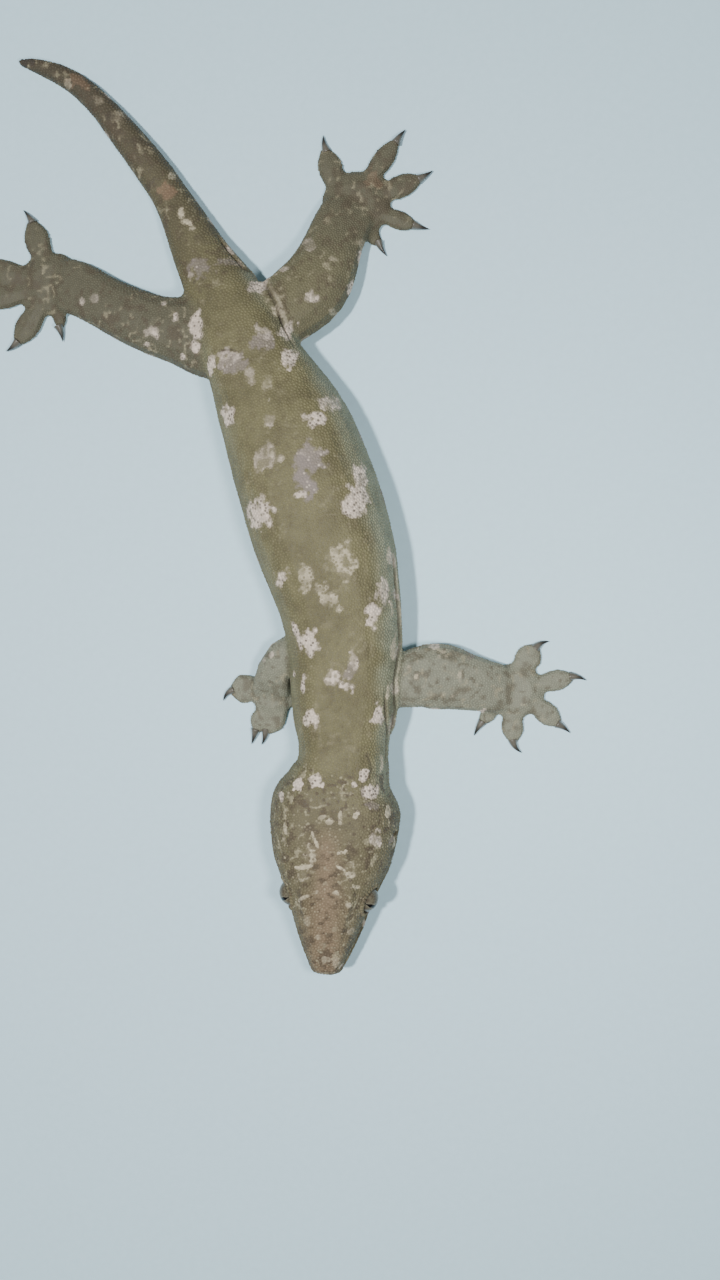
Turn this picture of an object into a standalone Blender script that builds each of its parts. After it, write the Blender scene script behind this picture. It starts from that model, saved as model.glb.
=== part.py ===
"""A New Caledonian giant gecko at life size, lying flat on its belly with its head and tail swung aside.

Metres, +Z up. The origin is on the floor under the flat of the belly. The head points to -Y, the tail to +Y,
and the animal's left is +X. Trunk, tail and limbs are lofts through stations of named width and height,
parted into nodes by thin flat cuts; feet, palms and toes are fused from small lofts.
"""

import math
from collections import namedtuple

import bmesh
import bpy
import numpy as np
from mathutils import Vector

# Clearances and floor
GAP = 0.0003

# Driving sizes of the animal
TRUNK_WIDTH = 0.0450
TRUNK_HEIGHT = 0.0300
HEAD_LENGTH = 0.0622
HEAD_WIDTH = 0.0424
HEAD_HEIGHT = 0.0265
TAIL_WIDTH = 0.0250
TAIL_HEIGHT = 0.0155
EYE_RADIUS = 0.0044
PAD_WIDTH = 0.0078
PAD_HEIGHT = 0.0030
CLAW_LENGTH = 0.0040
CLAW_RADIUS = 0.00090
CLAW_SIDES = 7
CLAW_RINGS = (0.0, 0.35, 0.70, 1.0)
CLAW_TAPER = 0.86
CLAW_TAPER_POWER = 1.3
CLAW_ARCH = 0.55
CLAW_DROP = 0.00015
CLAW_ROOT_SHARE = 0.55

# Place of the snout's tip, the way the head runs back from it, and how far the neck bends it aside
SNOUT_TIP = (-0.0017, -0.1337)
HEAD_BACKWARD = (0.0640, 0.9980)
NECK_BEND = 0.0017
NECK_BEND_FROM = 0.80
NECK_BEND_POWER = 1.5

# How round the upper and the lower half of a section are, 2 being an ellipse
BACK_POWER = 2.15
BELLY_POWER = 2.5

Form = namedtuple("Form", "x y half_width side back belly roof floor fold brow")
# Facets of one side of a section: roof, upper arc, lower arc, floor
Facets = namedtuple("Facets", "roof upper lower floor")
BODY_FACETS = Facets(1, 6, 5, 1)
HEAD_FACETS = Facets(2, 8, 6, 1)
LIMB_FACETS = Facets(1, 3, 3, 1)
TOE_FACETS = Facets(0, 2, 1, 1)

# The head from the snout backward. Distances, half widths and heights are shares of the head's length,
# width and height; roof and floor are the flat shares of the half width; brow is the ridge over the eye in metres.
HEAD_STATIONS = (
    # distance, half width, side, back, chin, roof, floor, fold, brow
    (0.000, 0.142, 0.350, 0.450, 0.225, 0.45, 0.30, 0.0000, 0.0000),
    (0.012, 0.198, 0.345, 0.500, 0.190, 0.45, 0.30, 0.0000, 0.0000),
    (0.045, 0.252, 0.335, 0.550, 0.165, 0.45, 0.32, 0.0000, 0.0001),
    (0.100, 0.331, 0.330, 0.595, 0.155, 0.45, 0.34, 0.0000, 0.0003),
    (0.161, 0.410, 0.330, 0.640, 0.150, 0.46, 0.36, 0.0000, 0.0005),
    (0.241, 0.500, 0.330, 0.700, 0.145, 0.48, 0.38, 0.0000, 0.0008),
    (0.347, 0.592, 0.345, 0.775, 0.140, 0.54, 0.40, 0.0000, 0.0015),
    (0.430, 0.680, 0.360, 0.830, 0.135, 0.53, 0.40, 0.0000, 0.0018),
    (0.520, 0.785, 0.370, 0.865, 0.135, 0.46, 0.42, 0.0000, 0.0011),
    (0.600, 0.895, 0.385, 0.900, 0.135, 0.40, 0.42, 0.0002, 0.0002),
    (0.715, 0.968, 0.395, 0.945, 0.135, 0.34, 0.42, 0.0004, 0.0000),
    (0.820, 1.000, 0.400, 0.980, 0.135, 0.30, 0.40, 0.0005, 0.0000),
    (0.905, 0.985, 0.405, 1.000, 0.135, 0.28, 0.38, 0.0006, 0.0000),
    (0.962, 0.915, 0.410, 0.995, 0.140, 0.27, 0.36, 0.0006, 0.0000),
    (1.015, 0.800, 0.420, 0.975, 0.145, 0.26, 0.33, 0.0005, 0.0000),
    (1.085, 0.720, 0.430, 0.950, 0.150, 0.25, 0.30, 0.0005, 0.0000),
)

# Neck, trunk and pelvis: place of the spine, then half width and heights as shares of the trunk's
# width and height
TRUNK_STATIONS = (
    # x, y, half width, side, back, belly, roof, floor, fold
    (0.0045, -0.0600, 0.640, 0.385, 0.820, 0.140, 0.25, 0.30, 0.0006),
    (0.0047, -0.0530, 0.715, 0.385, 0.830, 0.140, 0.25, 0.32, 0.0007),
    (0.0051, -0.0430, 0.780, 0.390, 0.860, 0.130, 0.24, 0.36, 0.0008),
    (0.0052, -0.0320, 0.800, 0.395, 0.890, 0.115, 0.23, 0.40, 0.0008),
    (0.0046, -0.0220, 0.838, 0.395, 0.920, 0.055, 0.22, 0.46, 0.0008),
    (0.0032, -0.0120, 0.890, 0.395, 0.950, 0.000, 0.22, 0.50, 0.0008),
    (0.0009, -0.0020, 0.958, 0.390, 0.975, 0.000, 0.22, 0.54, 0.0008),
    (-0.0034, 0.0120, 1.000, 0.390, 1.000, 0.000, 0.22, 0.56, 0.0008),
    (-0.0080, 0.0265, 0.975, 0.385, 0.985, 0.000, 0.22, 0.56, 0.0008),
    (-0.0131, 0.0407, 0.925, 0.380, 0.930, 0.000, 0.22, 0.54, 0.0007),
    (-0.0178, 0.0505, 0.835, 0.380, 0.860, 0.000, 0.22, 0.52, 0.0006),
    (-0.0226, 0.0605, 0.715, 0.385, 0.790, 0.000, 0.22, 0.50, 0.0003),
    (-0.0272, 0.0700, 0.640, 0.385, 0.740, 0.000, 0.22, 0.48, 0.0001),
)

# The tail from its root to its tip, half width and height as shares of the tail's width and height
TAIL_STATIONS = (
    # x, y, half width, back
    (-0.0318, 0.0805, 1.020, 1.240),
    (-0.0366, 0.0895, 0.880, 1.040),
    (-0.0412, 0.0975, 0.740, 0.880),
    (-0.0462, 0.1075, 0.610, 0.740),
    (-0.0497, 0.1142, 0.520, 0.650),
    (-0.0541, 0.1213, 0.470, 0.600),
    (-0.0600, 0.1295, 0.448, 0.570),
    (-0.0657, 0.1368, 0.405, 0.530),
    (-0.0715, 0.1440, 0.362, 0.480),
    (-0.0777, 0.1508, 0.318, 0.425),
    (-0.0840, 0.1562, 0.285, 0.375),
    (-0.0894, 0.1593, 0.252, 0.330),
    (-0.0945, 0.1615, 0.205, 0.275),
    (-0.0990, 0.1631, 0.150, 0.210),
    (-0.1026, 0.1642, 0.075, 0.130),
)
TAIL_SIDE_SHARE = 0.42
TAIL_ROOF = 0.15
TAIL_FLOOR = 0.45

# Where the trunk is parted, as y on the spine, from the head to the tail's tip
NECK_CUT_Y = -0.0660
SHOULDER_CUT_Y = -0.0480
TAIL_CUT_YS = (0.0860, 0.1180, 0.1475)
RING_SPACING = {"head": 0.0026, "neck": 0.0034, "torso": 0.0042, "tail": 0.0044}
SNOUT_RINGS = (0.0, 0.0006, 0.0016, 0.0030, 0.0048)
# The stretch of the trunk, as y on the spine, that limb roots are cut by
CLEARANCE_YS = (-0.0900, 0.1120)
SHARP_ANGLE = 50.0

# Mouth, as heights over the floor and distances from the snout's tip
MOUTH_LINE = ((-0.001, 0.0082), (0.010, 0.0078), (0.024, 0.0080), (0.032, 0.0088), (0.038, 0.0100))
MOUTH_SLIT = 0.0005
MOUTH_DEPTH = 0.0009
MOUTH_STEP = 0.0022
MOUTH_FRONT = 0.0012
MOUTH_PROUD = 0.0020
MOUTH_CORNER_SHARE = 0.35
MOUTH_CORNER_FADE = 0.006
LIP_PROUD = 0.00035
LIP_HEIGHT = 0.0016
LIP_FADE_SHARE = 0.2
MOUTH_CORNER = 0.038

# Eyes: distance from the snout, distance from the midline, height
EYE_PLACE = (0.0268, 0.0119, 0.0148)
EYE_FACING = (0.93, 0.22, 0.30)
ORBIT_RING_SIZE = 0.0045
ORBIT_RING_THICKNESS = 0.00085
ORBIT_RING_OUT = 0.0012
# Ear cups and nostrils, set on the side of the head: distance from the snout and height
EAR_PLACE = (0.0475, 0.0140)
EAR_SIZE = (0.0022, 0.0028, 0.0012)
EAR_LEAN = 0.45
NOSTRIL_PLACE = (0.0026, 0.0112)
NOSTRIL_SIZE = (0.0011, 0.0009, 0.0006)

# Limbs. Each station is x, y, half width, side, back, belly in metres, from inside the trunk to the palm.
Limb = namedtuple("Limb", "upper lower foot stations first_cut second_cut palm palm_heading palm_size toes")
# A toe is where its root and its tip lie round the palm's middle, in degrees from +X, how far the tip reaches,
# its width as a share of a pad's width, and how far in degrees its claw turns aside
Toe = namedtuple("Toe", "root_bearing tip_bearing reach width claw_turn")

LEFT_ARM = Limb(
    "left_upper_arm",
    "left_forearm",
    "left_hand",
    (
        (0.0120, -0.0400, 0.0074, 0.0095, 0.0160, 0.0045),
        (0.0225, -0.0396, 0.0082, 0.0085, 0.0148, 0.0032),
        (0.0300, -0.0376, 0.0105, 0.0075, 0.0136, 0.0022),
        (0.0370, -0.0379, 0.0107, 0.0066, 0.0122, 0.0014),
        (0.0440, -0.0396, 0.0093, 0.0056, 0.0104, 0.0010),
        (0.0510, -0.0411, 0.0084, 0.0045, 0.0084, 0.0008),
        (0.0565, -0.0420, 0.0074, 0.0032, 0.0056, 0.0007),
        (0.0610, -0.0423, 0.0040, 0.0018, 0.0028, 0.0007),
    ),
    0.0190,
    0.0390,
    (0.0595, -0.0424),
    0.0,
    (0.0088, 0.0094),
    (
        Toe(84.0, 65.0, 0.0160, 1.14, -42.0),
        Toe(16.0, 13.5, 0.0190, 0.94, -30.0),
        Toe(-34.0, -38.0, 0.0180, 0.98, 0.0),
        Toe(-104.0, -92.5, 0.0172, 0.98, 42.0),
        Toe(-150.0, -136.0, 0.0160, 0.70, 14.0),
    ),
)
RIGHT_ARM = Limb(
    "right_upper_arm",
    "right_forearm",
    "right_hand",
    (
        (-0.0020, -0.0312, 0.0064, 0.0095, 0.0160, 0.0045),
        (-0.0094, -0.0296, 0.0066, 0.0086, 0.0146, 0.0034),
        (-0.0147, -0.0311, 0.0061, 0.0078, 0.0132, 0.0024),
        (-0.0179, -0.0354, 0.0061, 0.0068, 0.0116, 0.0016),
        (-0.0193, -0.0396, 0.0062, 0.0054, 0.0092, 0.0010),
        (-0.0201, -0.0434, 0.0064, 0.0036, 0.0058, 0.0008),
        (-0.0205, -0.0466, 0.0040, 0.0018, 0.0028, 0.0007),
    ),
    0.0138,
    0.0190,
    (-0.0200, -0.0436),
    -100.0,
    (0.0084, 0.0070),
    (
        Toe(152.0, 177.5, 0.0141, 1.30, 50.0),
        Toe(-112.0, -114.0, 0.0142, 0.96, 6.0),
        Toe(-44.0, -98.5, 0.0135, 1.10, 0.0),
        Toe(-20.0, -14.0, 0.0125, 0.76, 0.0),
        Toe(18.0, 18.0, 0.0110, 0.56, 0.0),
    ),
)
LEFT_LEG = Limb(
    "left_thigh",
    "left_shank",
    "left_foot",
    (
        (-0.0290, 0.0690, 0.0080, 0.0100, 0.0185, 0.0040),
        (-0.0190, 0.0762, 0.0106, 0.0092, 0.0170, 0.0028),
        (-0.0108, 0.0815, 0.0116, 0.0084, 0.0158, 0.0020),
        (-0.0048, 0.0870, 0.0119, 0.0076, 0.0146, 0.0014),
        (-0.0012, 0.0935, 0.0108, 0.0068, 0.0130, 0.0010),
        (0.0012, 0.1000, 0.0098, 0.0058, 0.0110, 0.0008),
        (0.0038, 0.1065, 0.0094, 0.0044, 0.0082, 0.0007),
        (0.0066, 0.1125, 0.0086, 0.0032, 0.0056, 0.0007),
        (0.0090, 0.1175, 0.0050, 0.0018, 0.0028, 0.0007),
    ),
    0.0300,
    0.0460,
    (0.0082, 0.1140),
    62.0,
    (0.0108, 0.0116),
    (
        Toe(146.0, 119.0, 0.0210, 1.08, -18.0),
        Toe(64.0, 56.5, 0.0242, 0.92, -8.0),
        Toe(20.0, 20.5, 0.0226, 1.00, 10.0),
        Toe(-22.0, -20.5, 0.0208, 0.84, 6.0),
        Toe(-68.0, -60.0, 0.0150, 0.66, 0.0),
    ),
)
RIGHT_LEG = Limb(
    "right_thigh",
    "right_shank",
    "right_foot",
    (
        (-0.0270, 0.0650, 0.0105, 0.0100, 0.0185, 0.0040),
        (-0.0400, 0.0712, 0.0124, 0.0092, 0.0172, 0.0026),
        (-0.0480, 0.0737, 0.0110, 0.0085, 0.0160, 0.0020),
        (-0.0553, 0.0755, 0.0099, 0.0078, 0.0146, 0.0016),
        (-0.0621, 0.0782, 0.0094, 0.0070, 0.0132, 0.0012),
        (-0.0690, 0.0815, 0.0089, 0.0062, 0.0116, 0.0010),
        (-0.0757, 0.0852, 0.0086, 0.0053, 0.0098, 0.0008),
        (-0.0827, 0.0890, 0.0090, 0.0042, 0.0076, 0.0007),
        (-0.0890, 0.0912, 0.0084, 0.0032, 0.0056, 0.0007),
        (-0.0945, 0.0920, 0.0050, 0.0018, 0.0028, 0.0007),
    ),
    0.0350,
    0.0585,
    (-0.0925, 0.0915),
    162.0,
    (0.0104, 0.0108),
    (
        Toe(112.0, 109.0, 0.0224, 1.16, 18.0),
        Toe(164.0, 165.5, 0.0262, 1.14, 10.0),
        Toe(198.0, 190.5, 0.0262, 1.12, 8.0),
        Toe(240.0, 236.0, 0.0232, 1.12, -24.0),
        Toe(284.0, 279.5, 0.0148, 0.62, 0.0),
    ),
)
LIMBS = (LEFT_ARM, RIGHT_ARM, LEFT_LEG, RIGHT_LEG)
LIMB_RING_SPACING = 0.0036
LIMB_ROOF = 0.12
LIMB_FLOOR = 0.35
# How much of the gap a foot is cut past the end of the limb that it meets
FOOT_JOINT_SHARE = 0.4
TOE_NAMES = ("first", "second", "third", "fourth", "fifth")

# A toe from its root to its tip: how far along, width and height as shares of the pad
TOE_PROFILE = (
    (0.00, 0.74, 1.10),
    (0.26, 0.84, 1.06),
    (0.48, 1.00, 0.98),
    (0.66, 1.00, 0.90),
    (0.80, 0.82, 0.80),
    (0.91, 0.55, 0.70),
    (1.00, 0.28, 0.60),
)
TOE_ROOT_SHARE = 0.62
TOE_RIM_SHARE = 0.36
TOE_SOLE_SHARE = 0.80
WEB_REACH = 0.44
WEB_HEIGHTS = (0.0004, 0.0014)
WEB_SAG = 0.90
PALM_PROFILE = ((0.0003, 0.90), (0.0014, 1.00), (0.0030, 0.86), (0.0042, 0.55))
PALM_SIDES = 16

# Colours of the animal, from the darkest to the lightest, with their roughness
FINISHES = {
    "back": ((0.235, 0.205, 0.120, 1.0), 0.62),
    "head": ((0.260, 0.215, 0.135, 1.0), 0.58),
    "tail": ((0.190, 0.160, 0.100, 1.0), 0.62),
    "limb": ((0.200, 0.185, 0.125, 1.0), 0.64),
    "foot": ((0.165, 0.150, 0.115, 1.0), 0.66),
    "claw": ((0.045, 0.040, 0.036, 1.0), 0.35),
    "eye": ((0.030, 0.026, 0.020, 1.0), 0.08),
}


def clear_scene():
    """Remove every object that the file starts with."""
    for item in list(bpy.data.objects):
        bpy.data.objects.remove(item, do_unlink=True)


def finish_of(kind):
    """The material of one kind of surface."""
    material = bpy.data.materials.get("gecko_" + kind)
    if material:
        return material
    colour, roughness = FINISHES[kind]
    material = bpy.data.materials.new("gecko_" + kind)
    material.use_nodes = True
    shader = material.node_tree.nodes["Principled BSDF"]
    shader.inputs["Base Color"].default_value = colour
    shader.inputs["Roughness"].default_value = roughness
    shader.inputs["Metallic"].default_value = 0.0
    return material


def solid(name, vertices, faces):
    """An object of one closed mesh with its faces pointing out."""
    mesh = bpy.data.meshes.new(name)
    mesh.from_pydata([tuple(v) for v in vertices], [], faces)
    shape = bmesh.new()
    shape.from_mesh(mesh)
    bmesh.ops.recalc_face_normals(shape, faces=shape.faces)
    shape.to_mesh(mesh)
    shape.free()
    item = bpy.data.objects.new(name, mesh)
    bpy.context.scene.collection.objects.link(item)
    return item


def slopes(distances, rows):
    """The change of every column along a route, as a cubic through its stations needs it."""
    steps = np.diff(distances)[:, None]
    chords = np.diff(rows, axis=0) / steps
    inner = (chords[:-1] * steps[1:] + chords[1:] * steps[:-1]) / (steps[:-1] + steps[1:])
    return np.vstack([chords[:1], inner, chords[-1:]])


class Route:
    """A smooth run of sections through stations on the floor plan."""

    def __init__(self, stations):
        self.rows = np.array(stations, dtype=float)
        legs = np.linalg.norm(np.diff(self.rows[:, :2], axis=0), axis=1)
        self.distances = np.concatenate([[0.0], np.cumsum(legs)])
        self.slopes = slopes(self.distances, self.rows)
        self.length = float(self.distances[-1])

    def at(self, distance):
        """The form at a distance along the route, and the way it heads there."""
        place = int(np.clip(np.searchsorted(self.distances, distance) - 1, 0, len(self.rows) - 2))
        step = self.distances[place + 1] - self.distances[place]
        t = (distance - self.distances[place]) / step
        a, b = self.rows[place], self.rows[place + 1]
        u, v = self.slopes[place] * step, self.slopes[place + 1] * step
        row = (
            (2 * t**3 - 3 * t**2 + 1) * a
            + (t**3 - 2 * t**2 + t) * u
            + (3 * t**2 - 2 * t**3) * b
            + (t**3 - t**2) * v
        )
        rise = (6 * t**2 - 6 * t) * (a - b) + (3 * t**2 - 4 * t + 1) * u + (3 * t**2 - 2 * t) * v
        heading = Vector((rise[0], rise[1], 0.0)).normalized()
        return Form(*row), heading

    def distance_at_y(self, y):
        """How far along the route its y first passes a value."""
        steps = np.linspace(0.0, self.length, 2000)
        ys = np.array([self.at(s)[0].y for s in steps])
        return float(steps[int(np.argmax(ys >= y))])


def arc(start, end, steps, power):
    """A quarter of a rounded corner from start, level with it, to end, upright from it."""
    points = []
    for k in range(1, steps + 1):
        angle = math.pi / 2 * k / steps
        across = math.sin(angle) ** (2 / power)
        along = math.cos(angle) ** (2 / power)
        points.append((end[0] + (start[0] - end[0]) * along, start[1] + (end[1] - start[1]) * across))
    return points


def half_section(form, facets, grow=0.0):
    """One side of a section, from the middle of the back to the middle of the belly, as (across, height)."""
    width = form.half_width - form.fold + grow
    back = form.back + grow
    belly = max(form.belly, 0.0) - grow
    roof = form.roof * width
    floor = form.floor * width
    side = (width, form.side)
    points = [(0.0, back)]
    for k in range(1, facets.roof):
        points.append((roof * k / facets.roof, back))
    if facets.roof:
        points.append((roof, back + form.brow))
    upper = arc(side, (roof, back), facets.upper, BACK_POWER)
    points.extend(reversed(upper[:-1]))
    points.append((side[0] + form.fold, side[1]))
    lower = arc(side, (floor, belly), facets.lower, BELLY_POWER)
    points.extend(lower)
    points.append((0.0, belly))
    return points


def ring_at(form, heading, facets, grow=0.0, shift=0.0):
    """The points of a whole section, standing across the heading."""
    across = Vector((heading.y, -heading.x, 0.0))
    middle = Vector((form.x, form.y, 0.0)) + heading * shift
    half = half_section(form, facets, grow)
    left = [middle + across * w + Vector((0.0, 0.0, z)) for w, z in half]
    right = [middle - across * w + Vector((0.0, 0.0, z)) for w, z in half[1:-1]]
    return left + list(reversed(right))


def loft(name, rings):
    """A closed body through rings of equal count, with flat ends."""
    count = len(rings[0])
    vertices = [p for ring in rings for p in ring]
    faces = []
    for k in range(len(rings) - 1):
        for j in range(count):
            i = (j + 1) % count
            faces.append((k * count + j, k * count + i, (k + 1) * count + i, (k + 1) * count + j))
    faces.append(tuple(range(count)))
    faces.append(tuple((len(rings) - 1) * count + j for j in reversed(range(count))))
    return solid(name, vertices, faces)


def spaced(start, end, spacing):
    """Even distances from start to end, about a spacing apart."""
    steps = max(1, round((end - start) / spacing))
    return [start + (end - start) * k / steps for k in range(steps + 1)]


def length_of_body(name, route, distances, facets, shifts=(0.0, 0.0), grow=0.0, lips=False):
    """The loft of a route between its first and last distance, drawn back at its cut ends."""
    rings = []
    last = len(distances) - 1
    for k, distance in enumerate(distances):
        form, heading = route.at(distance)
        shift = shifts[0] if k == 0 else -shifts[1] if k == last else 0.0
        ring = ring_at(form, heading, facets, grow, shift)
        if lips:
            ring = swell_lips(ring, form, distance)
        rings.append(ring)
    return loft(name, rings)


def mouth_height(distance):
    """Height of the line between the lips at a distance from the snout."""
    return float(np.interp(distance, [p[0] for p in MOUTH_LINE], [p[1] for p in MOUTH_LINE]))


def swell_lips(ring, form, distance):
    """The ring with its points near the mouth set out a little, as full lips."""
    fade = max(0.0, min(1.0, (MOUTH_CORNER - distance) / (LIP_FADE_SHARE * MOUTH_CORNER)))
    middle = Vector((form.x, form.y, 0.0))
    swollen = []
    for point in ring:
        out = Vector((point.x, point.y, 0.0)) - middle
        off = (point.z - mouth_height(distance)) / LIP_HEIGHT
        push = LIP_PROUD * fade * math.exp(-off * off)
        swollen.append(point + out.normalized() * push if out.length > 0.5 * form.half_width else point)
    return swollen


def ellipsoid(name, place, size, axes=None, rings=8, sides=14):
    """A closed rounded body with its half sizes along three axes."""
    axes = axes or (Vector((1, 0, 0)), Vector((0, 1, 0)), Vector((0, 0, 1)))
    vertices = [place + axes[2] * size[2]]
    for k in range(1, rings):
        polar = math.pi * k / rings
        for j in range(sides):
            turn = math.tau * j / sides
            vertices.append(
                place
                + axes[0] * size[0] * math.sin(polar) * math.cos(turn)
                + axes[1] * size[1] * math.sin(polar) * math.sin(turn)
                + axes[2] * size[2] * math.cos(polar)
            )
    vertices.append(place - axes[2] * size[2])
    faces = []
    for j in range(sides):
        i = (j + 1) % sides
        faces.append((0, 1 + j, 1 + i))
        for k in range(rings - 2):
            a = 1 + k * sides
            faces.append((a + j, a + sides + j, a + sides + i, a + i))
        a = 1 + (rings - 2) * sides
        faces.append((a + j, len(vertices) - 1, a + i))
    return solid(name, vertices, faces)


def ring_tube(name, place, axis, radius, thickness, sides=18, facets=6):
    """A round ring of round section about an axis."""
    across = axis.orthogonal().normalized()
    upward = axis.cross(across).normalized()
    vertices = []
    faces = []
    for k in range(sides):
        turn = math.tau * k / sides
        out = across * math.cos(turn) + upward * math.sin(turn)
        for j in range(facets):
            roll = math.tau * j / facets
            vertices.append(place + out * (radius + thickness * math.cos(roll)) + axis * thickness * math.sin(roll))
    for k in range(sides):
        for j in range(facets):
            i, n = (j + 1) % facets, (k + 1) % sides
            faces.append((k * facets + j, n * facets + j, n * facets + i, k * facets + i))
    return solid(name, vertices, faces)


def apply_boolean(item, tools, operation):
    """Join tools to an item or cut them from it, then remove them."""
    group = bpy.data.collections.new("tools")
    bpy.context.scene.collection.children.link(group)
    for tool in tools:
        bpy.context.scene.collection.objects.unlink(tool)
        group.objects.link(tool)
    change = item.modifiers.new("shape", "BOOLEAN")
    change.operation = operation
    change.solver = "EXACT"
    change.operand_type = "COLLECTION"
    change.collection = group
    graph = bpy.context.evaluated_depsgraph_get()
    mesh = bpy.data.meshes.new_from_object(item.evaluated_get(graph))
    item.modifiers.clear()
    item.data = mesh
    for tool in tools:
        bpy.data.objects.remove(tool, do_unlink=True)
    bpy.data.collections.remove(group)
    keep_largest(item)


def keep_largest(item):
    """Leave only the largest closed surface of an item."""
    shape = bmesh.new()
    shape.from_mesh(item.data)
    left = set(shape.faces)
    islands = []
    while left:
        start = left.pop()
        island, edge_of = {start}, [start]
        while edge_of:
            face = edge_of.pop()
            for edge in face.edges:
                for other in edge.link_faces:
                    if other in left:
                        left.discard(other)
                        island.add(other)
                        edge_of.append(other)
        islands.append(island)
    islands.sort(key=lambda faces: sum(f.calc_area() for f in faces), reverse=True)
    for island in islands[1:]:
        bmesh.ops.delete(shape, geom=list(island), context="FACES")
    bmesh.ops.recalc_face_normals(shape, faces=shape.faces)
    shape.to_mesh(item.data)
    shape.free()


def dress(item, kind):
    """Give a node its material and smooth shading."""
    item.data.materials.clear()
    item.data.materials.append(finish_of(kind))
    item.data.shade_smooth()
    item.data.set_sharp_from_angle(angle=math.radians(SHARP_ANGLE))
    return item


def body_stations():
    """The stations of head, trunk and tail as one run of forms from the snout to the tail's tip."""
    forms = []
    backward = Vector((HEAD_BACKWARD[0], HEAD_BACKWARD[1])).normalized()
    for share, width, side, back, chin, roof, floor, fold, brow in HEAD_STATIONS:
        distance = share * HEAD_LENGTH
        bend_share = max(0.0, share - NECK_BEND_FROM) / (HEAD_STATIONS[-1][0] - NECK_BEND_FROM)
        bend = NECK_BEND * bend_share**NECK_BEND_POWER
        forms.append(
            Form(
                SNOUT_TIP[0] + backward.x * distance + bend,
                SNOUT_TIP[1] + backward.y * distance,
                width * HEAD_WIDTH / 2,
                side * HEAD_HEIGHT,
                back * HEAD_HEIGHT,
                chin * HEAD_HEIGHT,
                roof,
                floor,
                fold,
                brow,
            )
        )
    for x, y, width, side, back, belly, roof, floor, fold in TRUNK_STATIONS:
        forms.append(
            Form(
                x,
                y,
                width * TRUNK_WIDTH / 2,
                side * TRUNK_HEIGHT,
                back * TRUNK_HEIGHT,
                belly * TRUNK_HEIGHT,
                roof,
                floor,
                fold,
                0.0,
            )
        )
    for x, y, width, back in TAIL_STATIONS:
        height = back * TAIL_HEIGHT
        forms.append(
            Form(
                x,
                y,
                width * TAIL_WIDTH / 2,
                TAIL_SIDE_SHARE * height,
                height,
                0.0,
                TAIL_ROOF,
                TAIL_FLOOR,
                0.0,
                0.0,
            )
        )
    return forms


def head_point(place, side):
    """A point of the head from its distance behind the snout, off the midline, and height."""
    backward = Vector((HEAD_BACKWARD[0], HEAD_BACKWARD[1], 0.0)).normalized()
    across = Vector((backward.y, -backward.x, 0.0))
    distance, off, height = place
    return Vector((*SNOUT_TIP, height)) + backward * distance + across * off * side


def head_axes(side):
    """Outward, backward and upward for one side of the head."""
    backward = Vector((HEAD_BACKWARD[0], HEAD_BACKWARD[1], 0.0)).normalized()
    outward = Vector((backward.y, -backward.x, 0.0)) * side
    return outward, backward, Vector((0.0, 0.0, 1.0))


def eye_axis(side):
    """The way an eye looks: outward, a little forward and up."""
    outward, backward, upward = head_axes(side)
    return (outward * EYE_FACING[0] - backward * EYE_FACING[1] + upward * EYE_FACING[2]).normalized()


def width_at(form, facets, height):
    """Half width of a section at a height over the floor."""
    half = half_section(form, facets)
    best = 0.0
    for (w0, z0), (w1, z1) in zip(half, half[1:]):
        if min(z0, z1) <= height <= max(z0, z1) and z0 != z1:
            best = max(best, w0 + (w1 - w0) * (height - z0) / (z1 - z0))
    return best


def on_side_of_head(route, place, side):
    """The point of the head's surface at a distance from the snout and a height."""
    distance, height = place
    form, _ = route.at(distance)
    return head_point((distance, width_at(form, HEAD_FACETS, height), height), side)


def mouth_cutter(route):
    """A thin curved slab that parts the lips from one corner of the mouth round the snout to the other."""
    distances = spaced(MOUTH_FRONT, MOUTH_CORNER, MOUTH_STEP)[::-1]
    side_points = []
    for distance in distances:
        height = mouth_height(distance)
        form, _ = route.at(distance)
        side_points.append((distance, width_at(form, HEAD_FACETS, height), height))
    front_form, _ = route.at(0.0)
    front = width_at(front_form, HEAD_FACETS, mouth_height(0.0))
    outline = list(side_points)
    outline += [(0.0, front, mouth_height(0.0)), (0.0, 0.0, mouth_height(0.0)), (0.0, -front, mouth_height(0.0))]
    outline += [(d, -w, z) for d, w, z in reversed(side_points)]
    rings = []
    for k, (distance, off, height) in enumerate(outline):
        before = outline[max(0, k - 1)]
        after = outline[min(len(outline) - 1, k + 1)]
        along = Vector((after[0] - before[0], after[1] - before[1])).normalized()
        out = Vector((along.y, -along.x))
        depth = MOUTH_DEPTH * min(1.0, MOUTH_CORNER_SHARE + (MOUTH_CORNER - distance) / MOUTH_CORNER_FADE)
        ring = []
        for reach, rise in ((-depth, -0.5), (MOUTH_PROUD, -0.5), (MOUTH_PROUD, 0.5), (-depth, 0.5)):
            spot = (distance + out.x * reach, off + out.y * reach, height + rise * MOUTH_SLIT)
            ring.append(head_point(spot, 1.0))
        rings.append(ring)
    return loft("mouth", rings)


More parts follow.
